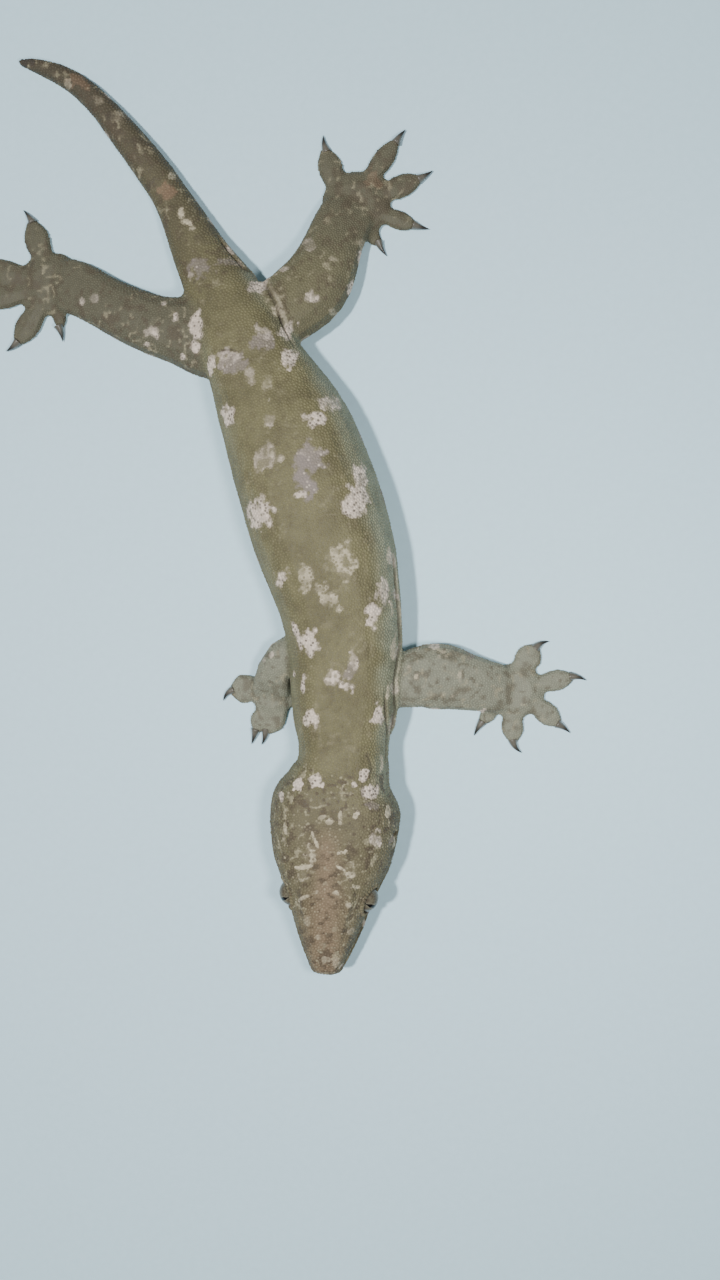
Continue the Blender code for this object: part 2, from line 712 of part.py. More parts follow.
def make_head(route, cut):
    """The head, with brow, orbit rings, sockets, ear cups, nostrils and mouth."""
    distances = list(SNOUT_RINGS[:-1]) + spaced(SNOUT_RINGS[-1], cut, RING_SPACING["head"])
    head = length_of_body("head", route, distances, HEAD_FACETS, (0.0, GAP / 2), lips=True)
    rims = []
    cutters = [mouth_cutter(route)]
    for side in (1.0, -1.0):
        axis = eye_axis(side)
        centre = head_point(EYE_PLACE, side)
        rims.append(
            ring_tube("rim", centre + axis * ORBIT_RING_OUT, axis, ORBIT_RING_SIZE, ORBIT_RING_THICKNESS)
        )
        socket = EYE_RADIUS + GAP
        cutters.append(ellipsoid("socket", centre, (socket,) * 3, rings=12, sides=20))
        outward, backward, upward = head_axes(side)
        lean = (upward + backward * EAR_LEAN).normalized()
        level = outward.cross(lean).normalized()
        ear = on_side_of_head(route, EAR_PLACE, side)
        nostril = on_side_of_head(route, NOSTRIL_PLACE, side)
        cutters.append(ellipsoid("ear", ear, EAR_SIZE, (outward, lean, level)))
        cutters.append(ellipsoid("nostril", nostril, NOSTRIL_SIZE, (outward, backward, upward), 6, 8))
    apply_boolean(head, rims, "UNION")
    apply_boolean(head, cutters, "DIFFERENCE")
    dress(head, "head")


def make_eyes():
    """Both eyeballs, each in its socket."""
    for side, word in ((1.0, "left"), (-1.0, "right")):
        axis = eye_axis(side)
        across = axis.orthogonal().normalized()
        axes = (across, axis.cross(across), axis)
        eye = ellipsoid(word + "_eye", head_point(EYE_PLACE, side), (EYE_RADIUS,) * 3, axes, 10, 18)
        dress(eye, "eye")


def make_trunk(route, cuts):
    """Neck, torso and the three lengths of the tail between their cuts."""
    names = ("neck", "torso", "tail_base", "tail_middle", "tail_tip")
    for name, start, end in zip(names, cuts, cuts[1:]):
        kind = name.split("_")[0]
        ends = (GAP / 2, 0.0 if name == "tail_tip" else GAP / 2)
        distances = spaced(start, end, RING_SPACING[kind])
        item = length_of_body(name, route, distances, BODY_FACETS, ends)
        dress(item, "tail" if kind == "tail" else "back")


def limb_route(limb):
    """The route of a limb, its sections round above and a little flat below."""
    return Route([(*station, LIMB_ROOF, LIMB_FLOOR, 0.0, 0.0) for station in limb.stations])


def trunk_clearance(route):
    """The trunk and tail root set out by the gap, which limb roots are cut by."""
    start, end = (route.distance_at_y(y) for y in CLEARANCE_YS)
    distances = spaced(start, end, RING_SPACING["torso"])
    return length_of_body("clearance", route, distances, BODY_FACETS, grow=GAP)


def limb_clearance(limb, path):
    """The lower length of a limb set out by the gap, which its foot is cut by."""
    distances = spaced(limb.first_cut, limb.second_cut, LIMB_RING_SPACING)
    return length_of_body("clearance", path, distances, LIMB_FACETS, (0.0, -FOOT_JOINT_SHARE * GAP), grow=GAP)


def bearing(degrees):
    """The level direction at an angle from +X."""
    return Vector((math.cos(math.radians(degrees)), math.sin(math.radians(degrees)), 0.0))


def toe_line(limb, toe):
    """Root and tip of a toe on the floor."""
    palm = Vector((*limb.palm, 0.0))
    root = palm + bearing(toe.root_bearing) * min(limb.palm_size) * TOE_ROOT_SHARE
    tip = palm + bearing(toe.tip_bearing) * toe.reach
    return root, tip


def make_toe(limb, toe):
    """A leaf-shaped toe pad, flat below and ridged above, with a small flat face for its claw."""
    root, tip = toe_line(limb, toe)
    along = tip - root
    heading = along.normalized()
    rings = []
    for share, width, height in TOE_PROFILE:
        spot = root + along * share
        top = height * PAD_HEIGHT
        half = width * toe.width * PAD_WIDTH / 2
        form = Form(spot.x, spot.y, half, TOE_RIM_SHARE * top, top, 0.0, 0.0, TOE_SOLE_SHARE, 0.0, 0.0)
        rings.append(ring_at(form, heading, TOE_FACETS))
    return loft("toe", rings)


def make_web(limb, first, second):
    """The thin skin between two neighbouring toes."""
    palm = Vector((*limb.palm, 0.0))
    ends = []
    for toe in (first, second):
        root, tip = toe_line(limb, toe)
        ends.append(root + (tip - root) * WEB_REACH)
    sag = palm + ((ends[0] + ends[1]) / 2 - palm) * WEB_SAG
    outline = [palm, ends[0], sag, ends[1]]
    low, high = WEB_HEIGHTS
    vertices = [p + Vector((0, 0, low)) for p in outline] + [p + Vector((0, 0, high)) for p in outline]
    faces = [(0, 1, 2), (0, 2, 3), (4, 5, 6), (4, 6, 7)]
    for k in range(4):
        n = (k + 1) % 4
        faces.append((k, n, 4 + n, 4 + k))
    return solid("web", vertices, faces)


def make_palm(limb):
    """The low rounded palm or sole that the toes grow from."""
    palm = Vector((*limb.palm, 0.0))
    along = bearing(limb.palm_heading)
    across = Vector((-along.y, along.x, 0.0))
    rings = []
    for height, share in PALM_PROFILE:
        ring = []
        for k in range(PALM_SIDES):
            turn = math.tau * k / PALM_SIDES
            spot = palm + along * limb.palm_size[0] * share * math.cos(turn)
            spot += across * limb.palm_size[1] * share * math.sin(turn)
            ring.append(spot + Vector((0.0, 0.0, height)))
        rings.append(ring)
    return loft("palm", rings)


def make_claw(limb, toe, name):
    """A short curved claw, face to face with its toe's tip."""
    root, tip = toe_line(limb, toe)
    heading = (tip - root).normalized()
    across = Vector((heading.y, -heading.x, 0.0))
    height = TOE_PROFILE[-1][2] * PAD_HEIGHT * CLAW_ROOT_SHARE
    turn_aside = math.radians(toe.claw_turn)
    rings = []
    for share in CLAW_RINGS:
        radius = CLAW_RADIUS * (1.0 - CLAW_TAPER * share**CLAW_TAPER_POWER)
        lift = CLAW_ARCH * CLAW_RADIUS * math.sin(math.pi * share) - CLAW_DROP * share
        ahead = heading * (GAP + CLAW_LENGTH * share * math.cos(turn_aside * share))
        aside = across * (-CLAW_LENGTH * share * math.sin(turn_aside * share))
        centre = tip + ahead + aside + Vector((0.0, 0.0, height + lift))
        ring = []
        for k in range(CLAW_SIDES):
            turn = math.tau * k / CLAW_SIDES
            ring.append(centre + across * radius * math.cos(turn) + Vector((0.0, 0.0, radius * math.sin(turn))))
        rings.append(ring)
    dress(loft(name, rings), "claw")


def make_limb(limb, route):
    """A limb parted at its two joints, its root cut to the trunk, with its foot and claws."""
    path = limb_route(limb)
    parts = (
        (limb.upper, 0.0, limb.first_cut, (0.0, GAP / 2), "limb"),
        (limb.lower, limb.first_cut, limb.second_cut, (GAP / 2, GAP / 2), "limb"),
        (limb.foot, limb.second_cut, path.length, (GAP / 2, 0.0), "foot"),
    )
    for name, start, end, ends, kind in parts:
        distances = spaced(start, end, LIMB_RING_SPACING)
        item = length_of_body(name, path, distances, LIMB_FACETS, ends)
        if name == limb.foot:
            pieces = [make_palm(limb)]
            pieces += [make_toe(limb, toe) for toe in limb.toes]
            pieces += [make_web(limb, a, b) for a, b in zip(limb.toes, limb.toes[1:])]
            apply_boolean(item, pieces, "UNION")
            apply_boolean(item, [limb_clearance(limb, path)], "DIFFERENCE")
        else:
            apply_boolean(item, [trunk_clearance(route)], "DIFFERENCE")
        dress(item, kind)
    for word, toe in zip(TOE_NAMES, limb.toes):
        make_claw(limb, toe, limb.foot + "_" + word + "_claw")


def main():
    """Build every node of the animal."""
    clear_scene()
    route = Route(body_stations())
    neck_cut = route.distance_at_y(NECK_CUT_Y)
    cuts = [neck_cut, route.distance_at_y(SHOULDER_CUT_Y)]
    cuts += [route.distance_at_y(y) for y in TAIL_CUT_YS]
    cuts.append(route.length)
    make_head(route, neck_cut)
    make_eyes()
    make_trunk(route, cuts)
    for limb in LIMBS:
        make_limb(limb, route)


main()
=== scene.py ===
"""A New Caledonian giant gecko at life size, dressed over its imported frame.

One skin lies over all the flesh, from the snout to the tail's tip. It carries folds, wrinkles and the mouth
line, and over it lie thousands of round granular scales, lip plates, rim scales round the eyes and ridges
below the toes. Eyes and claws are pieces of their own. The markings are masks worked out for the skin and
its scales alike.
Lengths are in metres, in the frame's own axes: the head points to -Y and the animal's left is +X.
"""

import logging
import math
from dataclasses import dataclass, field
from enum import Enum

import bmesh
import bpy
import numpy as np
from bpy.types import Material, Mesh, NodeSocket, Object
from mathutils import Matrix, Vector
from mathutils.bvhtree import BVHTree
from mathutils.kdtree import KDTree


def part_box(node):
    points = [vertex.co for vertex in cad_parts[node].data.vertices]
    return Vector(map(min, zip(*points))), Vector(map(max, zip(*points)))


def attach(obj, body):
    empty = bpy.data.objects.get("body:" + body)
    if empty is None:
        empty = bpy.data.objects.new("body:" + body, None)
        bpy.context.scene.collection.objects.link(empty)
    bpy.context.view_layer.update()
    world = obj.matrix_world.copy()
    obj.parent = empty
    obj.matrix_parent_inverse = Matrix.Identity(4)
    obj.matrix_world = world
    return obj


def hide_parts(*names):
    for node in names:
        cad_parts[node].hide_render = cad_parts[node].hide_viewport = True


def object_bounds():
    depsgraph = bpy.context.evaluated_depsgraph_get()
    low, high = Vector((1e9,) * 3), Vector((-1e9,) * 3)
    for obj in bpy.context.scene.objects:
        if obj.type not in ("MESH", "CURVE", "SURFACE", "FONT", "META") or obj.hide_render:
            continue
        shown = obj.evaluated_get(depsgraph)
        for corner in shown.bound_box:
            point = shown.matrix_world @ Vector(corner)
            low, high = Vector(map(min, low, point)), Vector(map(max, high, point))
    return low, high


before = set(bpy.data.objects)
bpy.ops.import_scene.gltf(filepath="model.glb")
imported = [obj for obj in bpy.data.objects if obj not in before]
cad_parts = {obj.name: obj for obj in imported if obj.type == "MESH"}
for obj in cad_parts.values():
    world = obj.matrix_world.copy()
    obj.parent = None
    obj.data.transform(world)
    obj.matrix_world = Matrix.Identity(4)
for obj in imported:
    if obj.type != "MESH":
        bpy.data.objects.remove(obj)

CAD_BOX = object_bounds()
BODY = "root"
MM = 0.001
MAP_NAME = "OFBake"

log = logging.getLogger("gecko")

Array = np.ndarray
Pair = tuple[float, float]
Triple = tuple[float, float, float]

TINY = 1e-12
HAIR = 0.01 * MM

# What turns a lattice point into a random number
LATTICE_SHIFT = 512.0
AXIS_KEYS = (73856093, 19349663, 83492791)
SEED_KEY = 2654435
STIRS = ((13, 1274126177), (15, 668265263))
TOP_KEY = 0x7FFFFFFF


class Zone(Enum):
    """The stretches of the body whose scales differ."""

    HEAD = 0
    TRUNK = 1
    TAIL = 2
    LIMB = 3
    FOOT = 4


class Mark(Enum):
    """The kinds of marking that the animal wears."""

    PINK = "pink"
    MAUVE = "mauve"
    # The cream mask also holds painted highlight along the folds' lips, and the dark mask painted shade in
    # openings and creases
    CREAM = "cream"
    DARK = "dark"
    RUST = "rust"


def ease(values: Array, low: float, high: float) -> Array:
    """Smooth step from 0 at low to 1 at high, which may lie below low."""
    share = np.clip((values - low) / (high - low), 0.0, 1.0)
    return share * share * (3.0 - 2.0 * share)


def bell(values: Array, width: float) -> Array:
    """A bell of height 1 at 0, falling off over a width."""
    return np.exp(-((values / width) ** 2))


def noise(places: Array, spacing: float, seed: int) -> Array:
    """Smooth noise from -1 to 1 on a lattice.

    Args:
        places: Points, one a row.
        spacing: Distance between the lattice's points.
        seed: Which pattern to draw.

    Returns:
        One value for each point.
    """
    grid = places / spacing + LATTICE_SHIFT
    base = np.floor(grid).astype(np.int64)
    part = grid - base
    part = part * part * (3.0 - 2.0 * part)
    total = np.zeros(len(places))
    for corner in range(8):
        step = np.array([corner & 1, corner >> 1 & 1, corner >> 2 & 1])
        cell = base + step
        key = seed * SEED_KEY
        for axis, axis_key in enumerate(AXIS_KEYS):
            key = key ^ cell[:, axis] * axis_key
        for shift, stir in STIRS:
            key = (key ^ key >> shift) * stir & TOP_KEY
        weight = np.prod(np.where(step, part, 1.0 - part), axis=1)
        total += weight * (key / TOP_KEY * 2.0 - 1.0)
    return total


def layers(places: Array, spacing: float, seed: int, count: int = 3) -> Array:
    """Noise in layers, each half as wide and half as strong as the one before.

    Args:
        places: Points, one a row.
        spacing: Distance between the first lattice's points.
        seed: Which pattern to draw.
        count: How many layers.

    Returns:
        One value from -1 to 1 for each point.
    """
    total = np.zeros(len(places))
    for k in range(count):
        total += noise(places, spacing / 2**k, seed + k) / 2**k
    return total / (2.0 - 0.5 ** (count - 1))


def unit(rows: Array) -> Array:
    """Each row at length 1."""
    return rows / np.maximum(np.linalg.norm(rows, axis=-1, keepdims=True), TINY)


def turns(count: int) -> Array:
    """Angles evenly round a circle."""
    return np.arange(count) * 2.0 * math.pi / count


def read(source: bpy.types.bpy_prop_collection, name: str, width: int) -> Array:
    """Values of a mesh collection as an array with one row for each item.

    Args:
        source: The collection, such as a mesh's vertices.
        name: The property to read.
        width: How many numbers it has.

    Returns:
        The values, one row for each item.
    """
    values = np.empty(len(source) * width, np.float32)
    source.foreach_get(name, values)
    return values.reshape(-1, width).astype(float)


def mesh_of(name: str, places: Array, faces: list[Array]) -> Mesh:
    """A mesh from its points and blocks of faces.

    Args:
        name: The mesh's name.
        places: Points, one a row.
        faces: Blocks of faces, each an array with one face a row.

    Returns:
        The mesh, shaded smooth.
    """
    mesh = bpy.data.meshes.new(name)
    mesh.vertices.add(len(places))
    mesh.vertices.foreach_set("co", places.astype(np.float32).ravel())
    sizes = np.concatenate([np.full(len(block), block.shape[1]) for block in faces])
    corners = np.concatenate([block.ravel() for block in faces])
    mesh.loops.add(len(corners))
    mesh.loops.foreach_set("vertex_index", corners.astype(np.int32))
    mesh.polygons.add(len(sizes))
    starts = np.concatenate([[0], np.cumsum(sizes)[:-1]])
    mesh.polygons.foreach_set("loop_start", starts.astype(np.int32))
    mesh.update(calc_edges=True)
    mesh.polygons.foreach_set("use_smooth", np.ones(len(sizes), bool))
    mesh.validate()
    return mesh


def place_piece(name: str, mesh: Mesh) -> Object:
    """An object of a mesh, linked to the scene.

    Args:
        name: The object's name.
        mesh: Its mesh.

    Returns:
        The object.
    """
    piece = bpy.data.objects.new(name, mesh)
    bpy.context.scene.collection.objects.link(piece)
    return piece


def store(mesh: Mesh, name: str, values: Array) -> None:
    """Keep one value a point on a mesh, for its material to read."""
    layer = mesh.attributes.get(name) or mesh.attributes.new(name, "FLOAT", "POINT")
    layer.data.foreach_set("value", values.astype(np.float32))


def join(blocks: list[tuple[Array, list[Array]]]) -> tuple[Array, list[Array]]:
    """Several bodies, each points and blocks of faces, as the points and faces of one.

    Args:
        blocks: The bodies, each its points and its blocks of faces.

    Returns:
        All points, and all blocks of faces.
    """
    places, faces, count = [], [], 0
    for points, parts in blocks:
        places.append(points)
        faces.extend(part + count for part in parts)
        count += len(points)
    return np.concatenate(places), faces


def tube(rings: int, sides: int, flip: bool = False) -> tuple[Array, Array, Array]:
    """Faces that join rings of points.

    Args:
        rings: How many rings.
        sides: Points in each.
        flip: Whether the faces look the other way.

    Returns:
        The faces, the points' numbers with one ring a row, and each point's neighbour in its ring.
    """
    index = np.arange(rings * sides).reshape(rings, sides)
    after = np.roll(index, -1, axis=1)
    corners = [index[:-1], index[1:], after[1:], after[:-1]]
    if flip:
        corners = [index[:-1], after[:-1], after[1:], index[1:]]
    return np.stack(corners, axis=2).reshape(-1, 4), index, after


def fan(tip: int, first: Array, second: Array) -> Array:
    """Triangles from one point to pairs of others."""
    return np.stack([np.full(len(first), tip), first, second], axis=1)


def tree_of(spots: Array) -> KDTree:
    """A tree of points, for finding those near a place.

    Args:
        spots: Points, one a row.

    Returns:
        The tree.
    """
    tree = KDTree(len(spots))
    for k, spot in enumerate(spots.tolist()):
        tree.insert(spot, k)
    tree.balance()
    return tree


@dataclass(frozen=True)
class Photo:
    """The view of the photo: straight down from above the shoulder, a little off the upright."""

    width: float = 720.0
    height: float = 1280.0
    focal: float = 1229.0
    foot: Pair = (480.0, 590.0)
    place: Triple = (0.048, -0.010, 0.400)
    sensor_mm: float = 24.0
    nearest: float = 0.01

    def way(self, u: float, v: float) -> Vector:
        """The way through a pixel in the camera's own axes."""
        return Vector((u - self.width / 2, self.height / 2 - v, -self.focal))

    def axes(self) -> Matrix:
        """The camera's own right, up and backward in the frame, as the columns of a rotation.

        Returns:
            The rotation.
        """
        z_axis = -self.way(*self.foot).normalized()
        y_axis = Vector((0.0, 1.0, 0.0))
        y_axis = (y_axis - y_axis.dot(z_axis) * z_axis).normalized()
        x_axis = y_axis.cross(z_axis)
        return Matrix((x_axis, y_axis, z_axis))

    def ray(self, u: float, v: float) -> Vector:
        """The way from the camera through a pixel."""
        return (self.axes() @ self.way(u, v)).normalized()

    def camera(self) -> Object:
        """The camera that sees the animal as the photo does.

        Returns:
            The camera, linked to the scene.
        """
        lens = bpy.data.cameras.new("camera")
        lens.sensor_fit = "VERTICAL"
        lens.sensor_height = self.sensor_mm
        lens.lens = self.sensor_mm * self.focal / self.height
        lens.clip_start = self.nearest
        item = bpy.data.objects.new("camera", lens)
        bpy.context.scene.collection.objects.link(item)
        matrix = self.axes().to_4x4()
        matrix.translation = Vector(self.place)
        item.matrix_world = matrix
        return item


@dataclass(frozen=True)
class SkinFinish:
    """Granular skin: an olive ground that turns grey green on the flanks and warm brown on the head.

    Colours are linear. Painted shade darkens the skin between the scales and their roots, and painted light
    brightens their crowns. A scale says how fine a noise is, a step where it turns from 0 to 1, and a span
    holds a lowest and a highest value.
    """

    name: str = "granular_skin"
    ground: Triple = (0.164, 0.148, 0.073)
    ground_dark: Triple = (0.130, 0.116, 0.057)
    # The flank colour is paler than the skin's own grey green: painted light, strongest on the animal's left
    # side
    flank: Triple = (0.250, 0.258, 0.175)
    nape: Triple = (0.138, 0.120, 0.067)
    midline: Triple = (0.212, 0.155, 0.096)
    rear: Triple = (0.072, 0.060, 0.038)
    leg: Triple = (0.106, 0.099, 0.064)
    arm: Triple = (0.212, 0.214, 0.156)
    umber: Triple = (0.080, 0.060, 0.038)
    straw: Triple = (0.350, 0.310, 0.200)
    belly: Triple = (0.420, 0.390, 0.300)
    mauve: Triple = (0.236, 0.198, 0.172)
    rust: Triple = (0.280, 0.170, 0.105)
    # Cream markings, and the painted highlight along the folds' lips
    cream: Triple = (0.530, 0.460, 0.325)
    pink: Triple = (0.680, 0.570, 0.470)
    # Dark markings, and the painted shade in the openings and the folds' grooves
    dark: Triple = (0.050, 0.040, 0.030)
    broad_scale: float = 95.0
    fine_scale: float = 900.0
    ground_step: Pair = (0.36, 0.60)
    tone_span: Pair = (0.87, 1.13)
    fine_span: Pair = (0.84, 1.16)
    # Painted shade at the scales' roots and on the skin between them, painted light on their crowns: the
    # factor at the roots and at the crowns
    crown_span: Pair = (0.84, 1.05)
    rough_span: Pair = (0.52, 0.74)
    specular: float = 0.36
    grain: Triple = (2600.0, 0.3, 0.05 * MM)

    def material(self) -> Material:
        """The finish as a material that reads the masks kept on its mesh.

        Returns:
            The material.
        """
        work = Bench(self.name)
        place = work.place()
        broad = work.noise(place, self.broad_scale, 3.0)
        fine = work.noise(place, self.fine_scale, 2.0)
        colour = work.blend(self.ground_dark, self.ground, work.ramp(broad, *self.ground_step))
        for name in ("flank", "nape", "midline", "rear", "leg", "arm", "umber", "straw"):
            colour = work.blend(colour, getattr(self, name), work.mask(name))
        colour = work.scale(colour, work.span(work.mask("tone"), *self.tone_span))
        colour = work.blend(colour, self.belly, work.mask("belly"))
        for name in ("mauve", "rust", "cream", "pink"):
            colour = work.blend(colour, getattr(self, name), work.mask(name))
        colour = work.scale(colour, work.span(fine, *self.fine_span))
        # Painted shade between the scales and at their roots, painted light on their crowns
        colour = work.scale(colour, work.span(work.mask("crown"), *self.crown_span))
        # Dark markings, and painted shade in the openings and the folds' grooves
        colour = work.blend(colour, self.dark, work.mask("dark"))
        work.feed("Base Color", colour)
        work.feed("Roughness", work.span(fine, *self.rough_span))
        work.set("Specular IOR Level", self.specular)
        work.bump(place, *self.grain)
        return work.material


@dataclass(frozen=True)
class HornFinish:
    """Dark horn, paler and more see-through looking towards its root."""

    name: str = "claw_horn"
    root: Triple = (0.112, 0.101, 0.080)
    tip: Triple = (0.022, 0.019, 0.016)
    streak_scale: float = 1500.0
    streak_span: Pair = (0.7, 1.3)
    rough_span: Pair = (0.24, 0.44)
    coat: float = 0.25
    coat_roughness: float = 0.2
    grain: Triple = (2200.0, 0.2, 0.03 * MM)

    def material(self) -> Material:
        """The finish as a material that reads how far along the claw a point is.

        Returns:
            The material.
        """
        work = Bench(self.name)
        place = work.place()
        streaks = work.noise(place, self.streak_scale, 2.0)
        colour = work.blend(self.root, self.tip, work.mask("along"))
        colour = work.scale(colour, work.span(streaks, *self.streak_span))
        work.feed("Base Color", colour)
        work.feed("Roughness", work.span(streaks, *self.rough_span))
        work.set("Coat Weight", self.coat)
        work.set("Coat Roughness", self.coat_roughness)
        work.bump(place, *self.grain)
        return work.material


@dataclass(frozen=True)
class EyeFinish:
    """A wet eye with a veined grey olive iris and an upright pupil with wavy edges."""

    name: str = "wet_eye"
    iris: Triple = (0.130, 0.118, 0.080)
    vein: Triple = (0.075, 0.060, 0.042)
    edge: Triple = (0.230, 0.215, 0.160)
    pupil: Triple = (0.003, 0.003, 0.003)
    # Painted shade where the ball sits in its socket
    rim: Triple = (0.020, 0.017, 0.013)
    vein_scale: float = 1100.0
    vein_warp: float = 1.4
    vein_step: Pair = (0.38, 0.62)
    roughness: float = 0.09
    specular: float = 0.22
    coat: float = 0.12
    coat_roughness: float = 0.02

    def material(self) -> Material:
        """The finish as a material that reads the pupil, its pale edge and the rim's painted shade from the
        eye's masks.

        Returns:
            The material.
        """
        work = Bench(self.name)
        place = work.place()
        veins = work.noise(place, self.vein_scale, 5.0, self.vein_warp)
        colour = work.blend(self.vein, self.iris, work.ramp(veins, *self.vein_step))
        for name in ("edge", "rim", "pupil"):
            colour = work.blend(colour, getattr(self, name), work.mask(name))
        work.feed("Base Color", colour)
        work.set("Roughness", self.roughness)
        work.set("Specular IOR Level", self.specular)
        work.set("Coat Weight", self.coat)
        work.set("Coat Roughness", self.coat_roughness)
        return work.material


@dataclass(frozen=True)
class FloorFinish:
    """Plain pale board, a little cool."""

    name: str = "pale_board"
    colour: Triple = (0.560, 0.780, 0.880)
    grain_scale: float = 420.0
    grain_span: Pair = (0.96, 1.04)
    roughness: float = 0.55
    specular: float = 0.25

    def material(self) -> Material:
        """The finish as a material.

        Returns:
            The material.
        """
        work = Bench(self.name)
        place = work.place()
        grain = work.noise(place, self.grain_scale, 2.0)
        work.feed("Base Color", work.scale(self.colour, work.span(grain, *self.grain_span)))
        work.set("Roughness", self.roughness)
        work.set("Specular IOR Level", self.specular)
        return work.material


class Bench:
    """A material being made, with short words for the nodes it uses."""

    def __init__(self, name: str) -> None:
        """Start a material with an empty Principled shader.

        Args:
            name: The material's name.
        """
        self.material = bpy.data.materials.new(name)
        self.material.use_nodes = True
        self.tree = self.material.node_tree
        self.shader = self.tree.nodes["Principled BSDF"]

    def put(self, socket: NodeSocket, value: object) -> None:
        """Give a socket a link, a colour or a number.

        Args:
            socket: An input of a node.
            value: A node's output, a colour or a number.
        """
        if isinstance(value, NodeSocket):
            self.tree.links.new(value, socket)
        elif isinstance(value, tuple) and len(socket.default_value) > len(value):
            socket.default_value = (*value, 1.0)
        else:
            socket.default_value = value

    def make(self, kind: str, output: str, inputs: dict, **traits: object) -> NodeSocket:
        """Add a node and feed it.

        Args:
            kind: What the node is.
            output: The output that is wanted.
            inputs: A link, colour or number for each input.
            traits: The node's own settings.

        Returns:
            The node's output.
        """
        node = self.tree.nodes.new("ShaderNode" + kind)
        for name, value in traits.items():
            setattr(node, name, value)
        for name, value in inputs.items():
            self.put(node.inputs[name], value)
        return node.outputs[output]

    def place(self) -> NodeSocket:
        """The place of a point in the frame."""
        return self.make("TexCoord", "Object", {})

    def mask(self, name: str) -> NodeSocket:
        """A value kept on the mesh."""
        return self.make("Attribute", "Fac", {}, attribute_name=name)

    def noise(self, place: NodeSocket, scale: float, detail: float, warp: float = 0.0) -> NodeSocket:
        """Noise from 0 to 1: how fine it is, how many layers it has and how far it bends."""
        inputs = {"Vector": place, "Scale": scale, "Detail": detail, "Distortion": warp}
        return self.make("TexNoise", "Fac", inputs)

    def span(self, value: NodeSocket, low: float, high: float) -> NodeSocket:
        """A value from 0 to 1 as one from low to high."""
        return self.make("MapRange", "Result", {"Value": value, "To Min": low, "To Max": high})

    def ramp(self, value: NodeSocket, low: float, high: float) -> NodeSocket:
        """A smooth step from 0 at low to 1 at high."""
        inputs = {"Value": value, "From Min": low, "From Max": high}
        return self.make("MapRange", "Result", inputs, interpolation_type="SMOOTHSTEP")

    def blend(self, under: object, over: object, share: NodeSocket) -> NodeSocket:
        """One colour over another by a share."""
        return self.make("Mix", "Result", {"Factor": share, "A": under, "B": over}, data_type="RGBA")

    def scale(self, colour: object, amount: NodeSocket) -> NodeSocket:
        """A colour made brighter or darker."""
        return self.make("VectorMath", "Vector", {0: colour, "Scale": amount}, operation="SCALE")

    def feed(self, name: str, value: NodeSocket) -> None:
        """Link a socket of the shader."""
        self.put(self.shader.inputs[name], value)

    def set(self, name: str, value: float) -> None:
        """Set a socket of the shader to a number that is the same all over."""
        self.shader.inputs[name].default_value = value

    def bump(self, place: NodeSocket, scale: float, strength: float, height: float) -> None:
        """Raise fine round grains on the surface.

        Args:
            place: Where to read them.
            scale: How fine they are.
            strength: How clear they are, from 0 to 1.
            height: Their height.
        """
        cells = self.make("TexVoronoi", "Distance", {"Vector": place, "Scale": scale})
        inputs = {"Strength": strength, "Distance": height, "Height": cells}
        self.feed("Normal", self.make("Bump", "Normal", inputs, invert=True))


@dataclass
class HeadPlan:
    """The head's own measures: distance behind the snout, distance to the left, and height.

    Attributes:
        snout: The snout's tip on the floor plan.
        backward: The way from the snout to the neck.
        leftward: The animal's left.
        eyes: The middle of each eye, by its side.
        tip_band: How much of the head's front counts as its tip.
        gaze: How far an eye looks outward, forward and up.
    """

    snout: Array = field(init=False)
    backward: Array = field(init=False)
    leftward: Array = field(init=False)
    eyes: dict[str, Array] = field(init=False)
    tip_band: float = 0.4 * MM
    gaze: Triple = (0.93, 0.22, 0.30)

    def __post_init__(self) -> None:
        """Take the head's line from the snout and the eyes of the frame."""
        points = read(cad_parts["head"].data.vertices, "co", 3)
        tip = points[points[:, 1] < points[:, 1].min() + self.tip_band]
        self.snout = np.array([(tip[:, 0].min() + tip[:, 0].max()) / 2, points[:, 1].min(), 0.0])
        self.eyes = {}
        for side in ("left", "right"):
            low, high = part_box(side + "_eye")
            self.eyes[side] = np.array((low + high) / 2)
        middle = (self.eyes["left"] + self.eyes["right"]) / 2 - self.snout
        middle[2] = 0.0
        self.backward = unit(middle)
        self.leftward = np.array([self.backward[1], -self.backward[0], 0.0])

    def local(self, places: Array) -> tuple[Array, Array, Array]:
        """Distance behind the snout, distance to the left and height of points."""
        off = places - self.snout
        return off @ self.backward, off @ self.leftward, places[..., 2]

    def point(self, behind: float, left: float, height: float) -> Array:
        """The point with these measures."""
        spot = self.snout + self.backward * behind + self.leftward * left
        return np.array([spot[0], spot[1], height])

    def eye_axes(self, side: str) -> tuple[Array, Array, Array]:
        """The way an eye looks, and its forward and upward directions.

        Args:
            side: left or right.

        Returns:
            Three unit directions.
        """
        outward, forward, upward = self.gaze
        sign = 1.0 if side == "left" else -1.0
        up = np.array([0.0, 0.0, 1.0])
        gaze = unit(self.leftward * outward * sign - self.backward * forward + up * upward)
        rise = unit(up - gaze * (up @ gaze))
        return gaze, np.cross(rise, gaze) * -sign, rise


